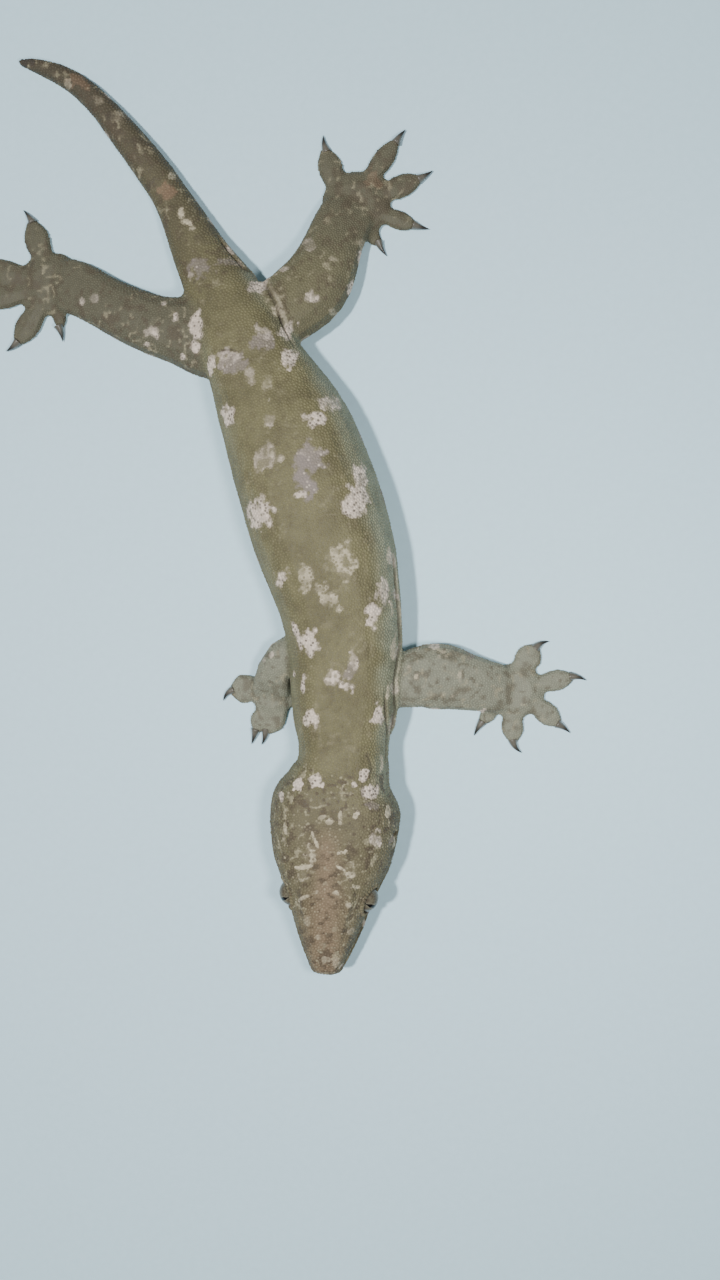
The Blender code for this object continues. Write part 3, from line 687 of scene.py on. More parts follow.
class Net:
    """The edges of a mesh, for averaging values over them."""

    def __init__(self, mesh: Mesh) -> None:
        """Read the edges both ways.

        Args:
            mesh: The mesh.
        """
        pairs = np.empty(len(mesh.edges) * 2, np.int32)
        mesh.edges.foreach_get("vertices", pairs)
        ends = pairs.reshape(-1, 2)
        self.size = len(mesh.vertices)
        self.here = np.concatenate([ends[:, 0], ends[:, 1]])
        self.there = np.concatenate([ends[:, 1], ends[:, 0]])
        self.count = np.maximum(np.bincount(self.here, minlength=self.size), 1)

    def average(self, values: Array) -> Array:
        """The mean of each point's neighbours.

        Args:
            values: One value or row for each point.

        Returns:
            The means, in the same shape.
        """
        rows = values.reshape(self.size, -1)
        columns = [
            np.bincount(self.here, weights=rows[self.there, k], minlength=self.size) / self.count
            for k in range(rows.shape[1])
        ]
        return np.stack(columns, axis=1).reshape(values.shape)

    def relax(self, values: Array, rounds: int, share: float = 0.5, back: float = 0.0) -> Array:
        """Values smoothed over the mesh.

        Args:
            values: One value or row for each point.
            rounds: How many times.
            share: How far towards the neighbours' mean each time.
            back: How far back out each time, which keeps the volume.

        Returns:
            The smoothed values.
        """
        for _ in range(rounds):
            values = values + (self.average(values) - values) * share
            if back:
                values = values - (self.average(values) - values) * back
        return values


@dataclass
class Hide:
    """The one skin over all the flesh, fused from the frame's nodes and drawn in by the scales' depth."""

    flesh: tuple[str, ...]
    swell: float = 0.35 * MM
    depth: float = 0.20 * MM
    voxel: float = 0.55 * MM
    weld: float = 0.001 * MM
    smooth_rounds: int = 8
    inflate: float = 0.52
    aim_rounds: int = 4
    crease_rounds: int = 10
    crease_depth: float = 0.10 * MM
    crease_gain: float = 2.5
    soft_rounds: int = 26
    head_rounds: int = 3
    head_inflate: float = 0.51
    head_band: float = 1.0 * MM
    zone_rounds: int = 14
    flat_angle: float = 1.15
    flat_gap: float = 0.001
    corner_reach: float = 0.03 * MM
    tone: Pair = (0.45, 0.25)
    tone_spacing: float = 1.2 * MM
    # How much painted light the bare skin of the openings gets against the painted shade between the scales
    bare_crown: float = 0.35
    mesh: Mesh = field(init=False)
    net: Net = field(init=False)
    places: Array = field(init=False)
    normals: Array = field(init=False)
    zones: Array = field(init=False)
    masks: dict[str, Array] = field(default_factory=dict)
    tree: BVHTree = field(init=False)

    def build(self) -> None:
        """Fuse the flesh, smooth it, refine the head, settle the zones and start the markings' masks."""
        self.fuse()
        self.smooth()
        self.refine()
        self.measure()
        self.sort_zones()
        for mark in Mark:
            self.masks[mark.value] = np.zeros(len(self.places))

    def fuse(self) -> None:
        """Join the nodes, each swollen past the gap to its neighbours, and wrap them in one skin."""
        shape = bmesh.new()
        for name in self.flesh:
            part = bmesh.new()
            part.from_mesh(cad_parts[name].data)
            bmesh.ops.remove_doubles(part, verts=part.verts, dist=self.weld)
            part.normal_update()
            for vertex in part.verts:
                vertex.co += vertex.normal * self.swell
            swollen = bpy.data.meshes.new("swollen")
            part.to_mesh(swollen)
            part.free()
            shape.from_mesh(swollen)
            bpy.data.meshes.remove(swollen)
        joined = bpy.data.meshes.new("joined")
        shape.to_mesh(joined)
        shape.free()
        piece = place_piece("joined", joined)
        wrap = piece.modifiers.new("wrap", "REMESH")
        wrap.mode = "VOXEL"
        wrap.voxel_size = self.voxel
        graph = bpy.context.evaluated_depsgraph_get()
        self.mesh = bpy.data.meshes.new_from_object(piece.evaluated_get(graph))
        self.mesh.name = "hide"
        bpy.data.objects.remove(piece, do_unlink=True)
        bpy.data.meshes.remove(joined)

    def measure(self) -> None:
        """Read the points, their normals and the edges anew."""
        self.net = Net(self.mesh)
        self.places = read(self.mesh.vertices, "co", 3)
        self.normals = unit(read(self.mesh.vertices, "normal", 3))

    def write(self) -> None:
        """Put the points back into the mesh and read their normals."""
        self.mesh.vertices.foreach_set("co", self.places.astype(np.float32).ravel())
        self.mesh.update()
        self.normals = unit(read(self.mesh.vertices, "normal", 3))

    def smooth(self) -> None:
        """Take the steps out of the wrapped skin and draw it in to its depth."""
        self.measure()
        self.places = self.net.relax(self.places, self.smooth_rounds, 0.5, self.inflate)
        self.write()
        aims = unit(self.net.relax(self.normals, self.aim_rounds))
        self.places = self.places - aims * (self.swell + self.depth)
        crease = self.net.relax(self.crease(), self.crease_rounds)
        share = np.clip(crease * self.crease_gain, 0.0, 1.0)[:, None]
        soft = self.net.relax(self.places, self.soft_rounds)
        self.places = self.places + (soft - self.places) * share
        self.places[:, 2] = np.maximum(self.places[:, 2], self.depth)
        self.write()

    def crease(self) -> Array:
        """How sharply the skin turns inward at each point, as where a limb meets the trunk."""
        inward = ((self.net.average(self.places) - self.places) * self.normals).sum(axis=1)
        return np.clip(inward / self.crease_depth, 0.0, 1.0)

    def refine(self) -> None:
        """Split the faces of the head, where the forms are finest."""
        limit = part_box("head")[1][1]
        shape = bmesh.new()
        shape.from_mesh(self.mesh)
        edges = [e for e in shape.edges if e.verts[0].co.y < limit and e.verts[1].co.y < limit]
        bmesh.ops.subdivide_edges(shape, edges=edges, cuts=1, use_grid_fill=True)
        shape.to_mesh(self.mesh)
        shape.free()
        self.measure()
        near = ease(self.places[:, 1], limit + self.head_band, limit - self.head_band)[:, None]
        soft = self.net.relax(self.places, self.head_rounds, 0.5, self.head_inflate)
        self.places = self.places + (soft - self.places) * near
        self.write()

    def sort_zones(self) -> None:
        """Find the nearest node of each point, and soften the borders between zones."""
        gaps = np.empty((len(self.places), len(Zone)))
        for zone in Zone:
            names = [n for n in self.flesh if zone_of(n) is zone]
            find = BVHTree.FromPolygons(*joined_faces(names)).find_nearest
            gaps[:, zone.value] = [find(p)[3] for p in self.places.tolist()]
        self.zones = gaps.argmin(axis=1)
        for zone in Zone:
            inside = (self.zones == zone.value).astype(float)
            self.masks[zone.name.lower()] = self.net.relax(inside, self.zone_rounds)

    def shift(self, amount: Array) -> None:
        """Move every point along its normal.

        Args:
            amount: How far, one for each point.
        """
        self.places = self.places + self.normals * amount[:, None]
        self.places[:, 2] = np.maximum(self.places[:, 2], self.depth)
        self.write()

    def loops(self) -> tuple[Array, Array]:
        """The vertex of every face corner, and each face's first corner.

        Returns:
            Both as whole numbers.
        """
        corners = np.empty(len(self.mesh.loops), np.int32)
        self.mesh.loops.foreach_get("vertex_index", corners)
        starts = np.empty(len(self.mesh.polygons), np.int32)
        self.mesh.polygons.foreach_get("loop_start", starts)
        return corners, starts

    def face_corners(self) -> tuple[Array, Array]:
        """Four corners of every face; a triangle's last one is there twice.

        Returns:
            The vertex of every corner of the mesh, and the four corners' numbers, one face a row.
        """
        corners, starts = self.loops()
        ends = np.append(starts[1:], len(corners))
        return corners, np.minimum(starts[:, None] + np.arange(4), ends[:, None] - 1)

    def grow_tree(self) -> None:
        """Keep the skin as a tree for rays and nearest points."""
        corners, starts = self.loops()
        faces = np.split(corners, starts[1:])
        self.tree = BVHTree.FromPolygons(self.places.tolist(), [f.tolist() for f in faces])

    def unwrap(self) -> None:
        """Lay the skin out flat once, for its own colours and for the places of its scales."""
        piece = place_piece("flat", self.mesh)
        self.mesh.uv_layers.new(name=MAP_NAME)
        bpy.context.view_layer.objects.active = piece
        piece.select_set(True)
        bpy.ops.object.mode_set(mode="EDIT")
        bpy.ops.mesh.select_all(action="SELECT")
        bpy.ops.uv.smart_project(angle_limit=self.flat_angle, island_margin=self.flat_gap)
        bpy.ops.object.mode_set(mode="OBJECT")
        bpy.data.objects.remove(piece, do_unlink=True)

    def seen(self, photo: Photo, u: float, v: float) -> tuple[Vector, Vector] | None:
        """Where the ray through a pixel meets the skin, and the skin's normal there."""
        spot, normal, _, _ = self.tree.ray_cast(Vector(photo.place), photo.ray(u, v))
        return (spot, normal) if spot else None

    def sample(self, places: Array) -> "Sample":
        """The nearest points on the skin, with what they need to read its masks.

        Args:
            places: Points near the skin, one a row.

        Returns:
            The points on the skin.
        """
        corners, quads = self.face_corners()
        find = self.tree.find_nearest
        hits = [find(p) for p in places.tolist()]
        spots = np.array([h[0] for h in hits])
        picks = quads[np.array([h[2] for h in hits])]
        near = corners[picks]
        gaps = np.linalg.norm(self.places[near] - spots[:, None, :], axis=2)
        shares = 1.0 / (gaps + self.corner_reach) ** 2
        shares /= shares.sum(axis=1, keepdims=True)
        flat = read(self.mesh.uv_layers[MAP_NAME].data, "uv", 2)[picks].mean(axis=1)
        normals = unit((self.normals[near] * shares[:, :, None]).sum(axis=1))
        return Sample(spots, normals, near, shares, flat)

    def wear(self, material: Material) -> None:
        """Make the skin a piece that keeps its masks and replaces all the flesh.

        Args:
            material: The skin's finish.
        """
        piece = place_piece("skin", self.mesh)
        middle, reach = self.tone
        tone = middle + reach * noise(self.places, self.tone_spacing, seed=61)
        self.masks["tone"] = np.clip(tone, 0.0, 1.0)
        for name, values in self.masks.items():
            if name != "bare":
                store(self.mesh, name, values)
        # Painted shade on the skin between the scales, a little less of it where the skin is bare
        store(self.mesh, "crown", self.bare_crown * self.masks["bare"])
        dress(piece, material)
        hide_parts(*self.flesh)


@dataclass(frozen=True)
class Sample:
    """Points on the skin."""

    spots: Array
    normals: Array
    near: Array
    shares: Array
    flat: Array

    def value(self, values: Array) -> Array:
        """A mask of the skin at these points."""
        return (values[self.near] * self.shares).sum(axis=1)

    def all_values(self, masks: dict[str, Array]) -> dict[str, Array]:
        """Every mask of the skin at these points."""
        return {name: self.value(mask) for name, mask in masks.items()}

    def part(self, keep: Array) -> "Sample":
        """Some of the points."""
        return Sample(
            self.spots[keep], self.normals[keep], self.near[keep], self.shares[keep], self.flat[keep]
        )


def joined_faces(names: list[str]) -> tuple[list, list]:
    """Points and faces of several nodes as one pair of lists.

    Args:
        names: The nodes.

    Returns:
        The points, and the faces as lists of their corners.
    """
    points, faces = [], []
    for name in names:
        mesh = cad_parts[name].data
        start = len(points)
        points.extend(v.co.copy() for v in mesh.vertices)
        faces.extend([start + i for i in p.vertices] for p in mesh.polygons)
    return points, faces


def zone_of(name: str) -> Zone:
    """The zone that a node of flesh belongs to.

    Args:
        name: The node's name.

    Returns:
        Its zone.
    """
    if name == "head":
        return Zone.HEAD
    if name in ("neck", "torso"):
        return Zone.TRUNK
    if name.startswith("tail"):
        return Zone.TAIL
    if name.endswith(("hand", "foot")):
        return Zone.FOOT
    return Zone.LIMB


@dataclass
class Girth:
    """The middle and half width of the trunk, neck, head and tail along the body."""

    step: float = 2.0 * MM
    blur: int = 5
    least: float = 0.5 * MM
    limit: float = 1.5
    middles: Array = field(init=False)
    halves: Array = field(init=False)
    stations: Array = field(init=False)

    def __post_init__(self) -> None:
        """Measure the widest extents of the flesh in slices."""
        names = ("head", "neck", "torso", "tail_base", "tail_middle", "tail_tip")
        points = np.concatenate([read(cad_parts[n].data.vertices, "co", 3) for n in names])
        low, high = points[:, 1].min(), points[:, 1].max()
        self.stations = np.arange(low, high, self.step)
        middles, halves = [], []
        for station in self.stations:
            slab = points[np.abs(points[:, 1] - station) < self.step]
            left, right = slab[:, 0].max(), slab[:, 0].min()
            middles.append((left + right) / 2)
            halves.append(max((left - right) / 2, self.least))
        blur = np.ones(self.blur) / self.blur
        self.middles = np.convolve(np.pad(middles, self.blur // 2, "edge"), blur, "valid")
        self.halves = np.convolve(np.pad(halves, self.blur // 2, "edge"), blur, "valid")

    def share(self, places: Array) -> Array:
        """How far out to the left points lie, as a share of the body's half width there.

        Args:
            places: Points, one a row.

        Returns:
            1 on the left edge of the body's slice, -1 on its right edge.
        """
        middle = np.interp(places[:, 1], self.stations, self.middles)
        half = np.interp(places[:, 1], self.stations, self.halves)
        return np.clip((places[:, 0] - middle) / half, -self.limit, self.limit)


@dataclass(frozen=True)
class Pattern:
    """Noise cut to a mask by a smooth step.

    Attributes:
        spacing: Distance between the noise's points.
        seed: Which noise to draw.
        low: The noise where the mask is 0.
        high: The noise where it is 1.
        lines: Whether the noise's sign is left off, which makes a net of lines.
    """

    spacing: float
    seed: int
    low: float
    high: float
    lines: bool = False

    def at(self, places: Array) -> Array:
        """The mask at points."""
        values = noise(places, self.spacing, self.seed)
        return ease(np.abs(values) if self.lines else values, self.low, self.high)


@dataclass(frozen=True)
class Swell:
    """A round rise of the head, or a hollow where its height is below 0.

    Attributes:
        rise: Its height.
        behind: Its distance behind the snout.
        long: Its half length.
        off: Its distance from the head's middle, or its height above the floor.
        wide: Its half size that way.
    """

    rise: float
    behind: float
    long: float
    off: float
    wide: float

    def at(self, behind: Array, off: Array) -> Array:
        """How far it lifts points with these measures."""
        return self.rise * bell(behind - self.behind, self.long) * bell(off - self.off, self.wide)


@dataclass
class FaceCarver:
    """The forms of the head: mouth line, lips, nostrils, ears, brow, hollows and jaw muscles.

    A place is a distance behind the snout and a height. A step holds the values where something is 0 and
    where it is 1. A rim holds its rise, its distance from the middle of the opening and its half width.
    """

    plan: HeadPlan
    mouth: tuple[Pair, ...] = (
        (-1.0 * MM, 8.2 * MM),
        (10.0 * MM, 7.8 * MM),
        (24.0 * MM, 8.0 * MM),
        (32.0 * MM, 8.8 * MM),
        (38.0 * MM, 10.0 * MM),
    )
    corner: float = 38.0 * MM
    corner_fade: Pair = (1.5 * MM, -1.0 * MM)
    steep_step: Pair = (0.90, 0.60)
    groove_depth: float = 0.55 * MM
    groove_half: float = 0.30 * MM
    lip_rise: float = 0.22 * MM
    lip_off: float = 1.1 * MM
    lip_half: float = 0.8 * MM
    hollow: Swell = Swell(-0.45 * MM, 14.0 * MM, 7.0 * MM, 12.2 * MM, 2.4 * MM)
    jaw: Swell = Swell(0.55 * MM, 46.0 * MM, 7.0 * MM, 9.0 * MM, 4.5 * MM)
    brow: Swell = Swell(0.30 * MM, 26.5 * MM, 5.0 * MM, 8.6 * MM, 1.6 * MM)
    furrow_depth: float = 0.28 * MM
    furrow_half: float = 1.8 * MM
    furrow_start: Pair = (5.0 * MM, 12.0 * MM)
    furrow_end: Pair = (40.0 * MM, 30.0 * MM)
    nostril: Pair = (2.6 * MM, 11.2 * MM)
    nostril_out: float = 1.2 * MM
    nostril_front: float = 0.97
    nostril_step: Pair = (0.80 * MM, 0.35 * MM)
    nostril_depth: float = 0.75 * MM
    nostril_rim: Triple = (0.20 * MM, 1.05 * MM, 0.4 * MM)
    ear: Pair = (47.5 * MM, 14.0 * MM)
    ear_size: Pair = (1.3 * MM, 1.9 * MM)
    ear_lean: float = 0.45
    ear_out: Pair = (9.0 * MM, 11.0 * MM)
    ear_step: Pair = (1.05, 0.70)
    ear_depth: float = 0.9 * MM
    ear_rim: Triple = (0.25 * MM, 1.25, 0.3)
    far: float = 9.0 * MM
    groove_bare: Pair = (0.35, 0.75)
    hole_bare: Pair = (0.2, 0.6)
    # Painted shade in the mouth line, the ears and round the eye sockets
    groove_dark: float = 0.85
    ear_dark: float = 0.9
    socket_bare: Pair = (5.0 * MM, 4.8 * MM)
    socket_step: Pair = (4.95 * MM, 4.6 * MM)
    socket_dark: float = 0.6

    def mouth_height(self, behind: Array) -> Array:
        """The height of the mouth line at distances behind the snout."""
        spots, heights = zip(*self.mouth)
        return np.interp(behind, spots, heights)

    def carve(self, hide: Hide) -> None:
        """Shape the head and keep the masks of its openings.

        Args:
            hide: The skin.
        """
        behind, left, height = self.plan.local(hide.places)
        out = np.abs(left)
        head = hide.masks["head"]
        side = ease(np.abs(hide.normals[:, 2]), *self.steep_step) * head
        rise = height - self.mouth_height(behind)
        low, high = self.corner_fade
        within = ease(behind, self.corner + low, self.corner + high) * side
        groove = bell(rise, self.groove_half) * within
        lips = bell(rise - self.lip_off, self.lip_half) + bell(rise + self.lip_off, self.lip_half)
        furrow = -self.furrow_depth * bell(left, self.furrow_half) * ease(behind, *self.furrow_start)
        pit, nose = self.nostrils(hide, behind, out, height, side)
        hole, ears = self.ears(behind, out, height, head)
        forms = (
            -self.groove_depth * groove,
            self.lip_rise * lips * within,
            self.hollow.at(behind, height) * side,
            furrow * head * ease(behind, *self.furrow_end),
            self.jaw.at(behind, out) * head,
            self.brow.at(behind, out) * head,
            nose,
            ears,
        )
        hide.shift(sum(forms))
        self.open(hide, groove, pit, hole)

    def nostrils(
        self, hide: Hide, behind: Array, out: Array, height: Array, side: Array
    ) -> tuple[Array, Array]:
        """A pit with a raised rim on either side of the snout.

        Args:
            hide: The skin.
            behind: Each point's distance behind the snout.
            out: Its distance from the head's middle.
            height: Its height.
            side: How steep the head is there.

        Returns:
            How deep in a pit each point lies, and how far it moves.
        """
        gap = np.hypot(behind - self.nostril[0], height - self.nostril[1])
        front = (hide.normals @ -self.plan.backward >= self.nostril_front) | (out <= self.nostril_out)
        gap = np.where(front, self.far, gap)
        pit = ease(gap, *self.nostril_step) * side
        rise, middle, half = self.nostril_rim
        return pit, rise * bell(gap - middle, half) * side - self.nostril_depth * pit

    def ears(self, behind: Array, out: Array, height: Array, head: Array) -> tuple[Array, Array]:
        """A leaning oval opening with a raised rim on either side of the head.

        Args:
            behind: Each point's distance behind the snout.
            out: Its distance from the head's middle.
            height: Its height.
            head: Its share of the head.

        Returns:
            How deep in an opening each point lies, and how far it moves.
        """
        back, up = behind - self.ear[0], height - self.ear[1]
        along = back * math.cos(self.ear_lean) + up * math.sin(self.ear_lean)
        across = up * math.cos(self.ear_lean) - back * math.sin(self.ear_lean)
        cup = np.hypot(along / self.ear_size[0], across / self.ear_size[1])
        near = ease(out, *self.ear_out) * head
        hole = ease(cup, *self.ear_step) * near
        rise, middle, half = self.ear_rim
        return hole, rise * bell(cup - middle, half) * near - self.ear_depth * hole

    def open(self, hide: Hide, groove: Array, pit: Array, hole: Array) -> None:
        """Paint shade into the mouth line, nostrils, ears and eye sockets, and keep scales out of them.

        Args:
            hide: The skin.
            groove: How deep in the mouth line each point lies.
            pit: How deep in a nostril.
            hole: How deep in an ear.
        """
        openings = ease(groove, *self.groove_bare) + ease(pit, *self.hole_bare)
        openings = openings + ease(hole, *self.hole_bare)
        bare = np.clip(openings, 0.0, 1.0)
        # Painted shade in the openings, kept in the dark mask
        dark = np.clip(self.groove_dark * groove + pit + self.ear_dark * hole, 0.0, 1.0)
        for centre in self.plan.eyes.values():
            gap = np.linalg.norm(hide.places - centre, axis=1)
            bare = np.maximum(bare, ease(gap, *self.socket_bare))
            dark = np.maximum(dark, self.socket_dark * ease(gap, *self.socket_step))
        hide.masks["bare"] = bare
        hide.masks["dark"] = dark


@dataclass(frozen=True)
class Fold:
    """A fold of loose skin along a line of pixels: a groove, and a raised lip to one side of it."""

    line: tuple[Pair, ...]
    side: float = 1.0
    depth: float = 0.9 * MM
    lip: float = 0.5 * MM
    wide: float = 0.55 * MM
    # light is the strength of the painted highlight along the lip, and shade that of the painted shade in
    # the groove
    light: float = 0.0
    shade: float = 0.95
    reach: float = 6.0 * MM
    ridge_off: float = 1.5 * MM
    ridge_half: float = 1.0 * MM
    ridge_reach: float = 3.2 * MM
    edge_off: float = 1.3 * MM
    edge_half: float = 0.55 * MM
    ends: float = 0.16
    waver: float = 0.35
    waver_spacing: float = 3.0 * MM
    breaks: Pattern = Pattern(4.0 * MM, 5, -0.3, 0.3)
    bare_step: Pair = (0.55, 0.85)

    def path(self, hide: Hide, photo: Photo, step: float = 2.0) -> Array:
        """The line on the skin as close points.

        Args:
            hide: The skin.
            photo: The view that the pixels belong to.
            step: Pixels from one point to the next.

        Returns:
            The points, one a row.
        """
        spots = []
        for (u0, v0), (u1, v1) in zip(self.line, self.line[1:]):
            count = max(int(math.hypot(u1 - u0, v1 - v0) / step), 1)
            for k in range(count):
                hit = hide.seen(photo, u0 + (u1 - u0) * k / count, v0 + (v1 - v0) * k / count)
                if hit:
                    spots.append(tuple(hit[0]))
        return np.array(spots)

    def press(self, hide: Hide, photo: Photo) -> Array:
        """Shape the fold, paint shade into its groove and a highlight along its lip.

        Args:
            hide: The skin.
            photo: The view that the pixels belong to.

        Returns:
            How far each point moves along its normal.
        """
        path = self.path(hide, photo)
        low, high = path.min(0) - self.reach, path.max(0) + self.reach
        near = np.flatnonzero(((hide.places > low) & (hide.places < high)).all(axis=1))
        points = hide.places[near]
        find = tree_of(path).find
        found = [find(p) for p in points.tolist()]
        index = np.array([f[1] for f in found])
        gap = np.array([f[2] for f in found])
        last = len(path) - 1
        ahead = path[np.minimum(index + 2, last)] - path[np.maximum(index - 2, 0)]
        off = points - path[index]
        hand = (np.cross(unit(ahead), off) * hide.normals[near]).sum(axis=1) * self.side
        fade = np.minimum(index, last - index) / max(len(path) * self.ends, 1.0)
        fade = np.clip(fade, 0.0, 1.0)
        wave = 1.0 + self.waver * noise(points, self.waver_spacing, seed=71)
        # Painted shade in the groove
        groove = bell(gap, self.wide) * fade * wave
        ridge = bell(hand - self.ridge_off, self.ridge_half) * bell(gap, self.ridge_reach) * fade
        # Painted highlight along the raised lip, kept with the cream markings
        pale = self.light * bell(hand - self.edge_off, self.edge_half) * fade * self.breaks.at(points)
        grown = {
            "dark": np.clip(self.shade * groove, 0.0, 1.0),
            "bare": ease(groove, *self.bare_step),
            "cream": pale,
        }
        for name, values in grown.items():
            mask = hide.masks[name]
            mask[near] = np.maximum(mask[near], values)
        amount = np.zeros(len(hide.places))
        amount[near] = self.lip * ridge - self.depth * groove
        return amount


@dataclass
class LooseSkin:
    """Folds, creases at the joints and the soft unevenness of the whole skin."""

    photo: Photo
    folds: tuple[Fold, ...]
    gap: float = 1.45 * MM
    depth: float = 0.20 * MM
    bends: tuple[tuple[str, str, float], ...] = (
        ("{}upper_arm", "{}forearm", 5.0 * MM),
        ("{}forearm", "{}hand", 4.5 * MM),
        ("{}thigh", "{}shank", 6.5 * MM),
        ("{}shank", "{}foot", 5.5 * MM),
        ("torso", "{}upper_arm", 6.0 * MM),
        ("torso", "{}thigh", 7.5 * MM),
    )
    broken: Pattern = Pattern(2.6 * MM, 47, -0.55, 0.35)
    waver: float = 2.2
    waver_spacing: float = 4.0 * MM
    stretch: Triple = (1.0, 0.28, 1.0)
    crease_spacing: float = 3.2 * MM
    crease_depth: float = 0.16 * MM
    lump_spacing: float = 8.0 * MM
    lump_height: float = 0.22 * MM
    fine_spacing: float = 1.8 * MM
    fine_height: float = 0.07 * MM
    tail_share: float = 0.5
    calm: Pair = (0.4 * MM, 1.6 * MM)
    joint_calm: Pair = (0.5 * MM, 1.5 * MM)

    def drape(self, hide: Hide) -> None:
        """Move the skin by every fold and crease.

        Args:
            hide: The skin.
        """
        amount = sum(fold.press(hide, self.photo) for fold in self.folds)
        amount = amount + self.joints(hide) + self.surface(hide)
        hide.shift(amount)

    def surface(self, hide: Hide) -> Array:
        """Long shallow creases on the trunk and finer unevenness elsewhere.

        Args:
            hide: The skin.

        Returns:
            How far each point moves along its normal.
        """
        points = hide.places
        long = points * np.array(self.stretch)
        creases = 0.5 - 2.0 * np.abs(layers(long, self.crease_spacing, seed=11))
        lumps = layers(points, self.lump_spacing, seed=23)
        fine = layers(points, self.fine_spacing, seed=31, count=2)
        trunk = hide.masks["trunk"] + self.tail_share * hide.masks["tail"]
        amount = (
            self.crease_depth * creases * trunk
            + self.lump_height * lumps * trunk
            + self.fine_height * fine
        )
        return amount * ease(points[:, 2], *self.calm) * (1.0 - hide.masks["bare"])

    def joints(self, hide: Hide) -> Array:
        """Rings of creases where the lengths of the limbs meet.

        Args:
            hide: The skin.

        Returns:
            How far each point moves along its normal.
        """
        amount = np.zeros(len(hide.places))
        broken = self.broken.at(hide.places)
        waver = self.waver * noise(hide.places, self.waver_spacing, seed=43)
        for side in ("left_", "right_"):
            for near, far, reach in self.bends:
                centre, axis = joint_of(near.format(side), far.format(side))
                off = hide.places - centre
                phase = 2.0 * math.pi * (off @ axis) / self.gap + waver
                weight = bell(np.linalg.norm(off, axis=1), reach) * broken
                amount -= self.depth * weight * (0.5 + 0.5 * np.cos(phase)) ** 2
        return amount * ease(hide.places[:, 2], *self.joint_calm)


def joint_of(near: str, far: str) -> tuple[Array, Array]:
    """Where two nodes of flesh meet, and the way from there into the second one.

    Args:
        near: The node nearer to the trunk.
        far: The node that grows from it.

    Returns:
        The joint's centre and a unit axis.
    """
    points = read(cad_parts[far].data.vertices, "co", 3)
    find = BVHTree.FromPolygons(*joined_faces([near])).find_nearest
    gaps = np.array([find(p)[3] for p in points.tolist()])
    centre = points[gaps < max(gaps.min() * 2.0, 0.8 * MM)].mean(axis=0)
    return centre, unit(points.mean(axis=0) - centre)


@dataclass(frozen=True)
class Blotch:
    """A marking seen at a pixel: its size across and along in pixels, its kind, its strength and its turn.

    Its lace is 0 for a solid patch and 1 for a net of thin lines.
    """

    u: float
    v: float
    wide: float
    tall: float
    mark: Mark = Mark.PINK
    strength: float = 1.0
    turn: float = 0.0
    lace: float = 0.0

    @classmethod
    def unseen(cls, mark: Mark, strength: float) -> "Blotch":
        """The look of a marking that the photo doesn't show, with no pixel or size of its own."""
        return cls(0.0, 0.0, 0.0, 0.0, mark, strength)


@dataclass
class Ground:
    """The broad colours: flanks, belly, limbs, nape and the head's middle.

    A step holds the values where a mask is 0 and where it is 1. Uneven says how far noise moves its edge.
    """

    girth: Girth
    plan: HeadPlan
    spacing: float = 6.0 * MM
    core_step: Pair = (0.2, 0.8)
    flank_step: Pair = (0.60, 1.00)
    # The flank mask leans to the animal's left side, away from the key light: painted light on that flank
    flank_lean: Pair = (-1.6, 0.4)
    flank_uneven: float = 0.10
    rear_step: Pair = (55.0 * MM, 160.0 * MM)
    rear_uneven: float = 8.0 * MM
    legs_start: float = 30.0 * MM
    pale_thigh: Pair = (-8.0 * MM, 82.0 * MM)
    pale_reach: float = 24.0 * MM
    pale_share: float = 0.6
    belly_step: Pair = (-0.15, -0.65)
    belly_uneven: float = 0.15
    nape_step: Pair = (73.0 * MM, 52.0 * MM)
    nape_uneven: float = 5.0 * MM
    midline_half: float = 3.8 * MM
    midline_flare: float = 2.8 * MM
    flare_step: Pair = (38.0 * MM, 22.0 * MM)
    midline_step: Pair = (54.0 * MM, 42.0 * MM)
    midline_top: Pair = (0.2, 0.7)
    midline_uneven: float = 1.2 * MM

    def paint(self, hide: Hide) -> None:
        """Work out the masks of the broad colours.

        Args:
            hide: The skin.
        """
        masks, points = hide.masks, hide.places
        share = self.girth.share(points)
        core = np.clip(masks["trunk"] + masks["tail"] + masks["head"], 0.0, 1.0)
        uneven = noise(points, self.spacing, seed=12)
        down = hide.normals[:, 2]
        out = np.abs(share) + self.flank_uneven * uneven
        # Painted light: the paler flank colour is strongest on the animal's left flank, which the key light
        # leaves in shade
        masks["flank"] = ease(out, *self.flank_step) * ease(share, *self.flank_lean) * core
        masks["flank"] = masks["flank"] * (1.0 - masks["tail"])
        masks["rear"] = ease(points[:, 1] + self.rear_uneven * uneven, *self.rear_step)
        masks["rear"] = masks["rear"] * ease(core, *self.core_step)
        limbs = np.clip(masks["limb"] + masks["foot"], 0.0, 1.0)
        legs = points[:, 1] > self.legs_start
        thigh = np.linalg.norm(points[:, :2] - np.array(self.pale_thigh), axis=1)
        masks["leg"] = limbs * legs * (1.0 - self.pale_share * bell(thigh, self.pale_reach))
        masks["arm"] = limbs * ~legs
        masks["belly"] = ease(down + self.belly_uneven * uneven, *self.belly_step)
        behind, left, _ = self.plan.local(points)
        masks["nape"] = ease(behind + self.nape_uneven * uneven, *self.nape_step)
        masks["nape"] = masks["nape"] * ease(core, *self.core_step)
        broad = self.midline_half + self.midline_flare * ease(behind, *self.flare_step)
        middle = bell((left + self.midline_uneven * uneven) / broad, 1.0) * ease(behind, *self.midline_step)
        masks["midline"] = middle * masks["head"] * ease(down, *self.midline_top)


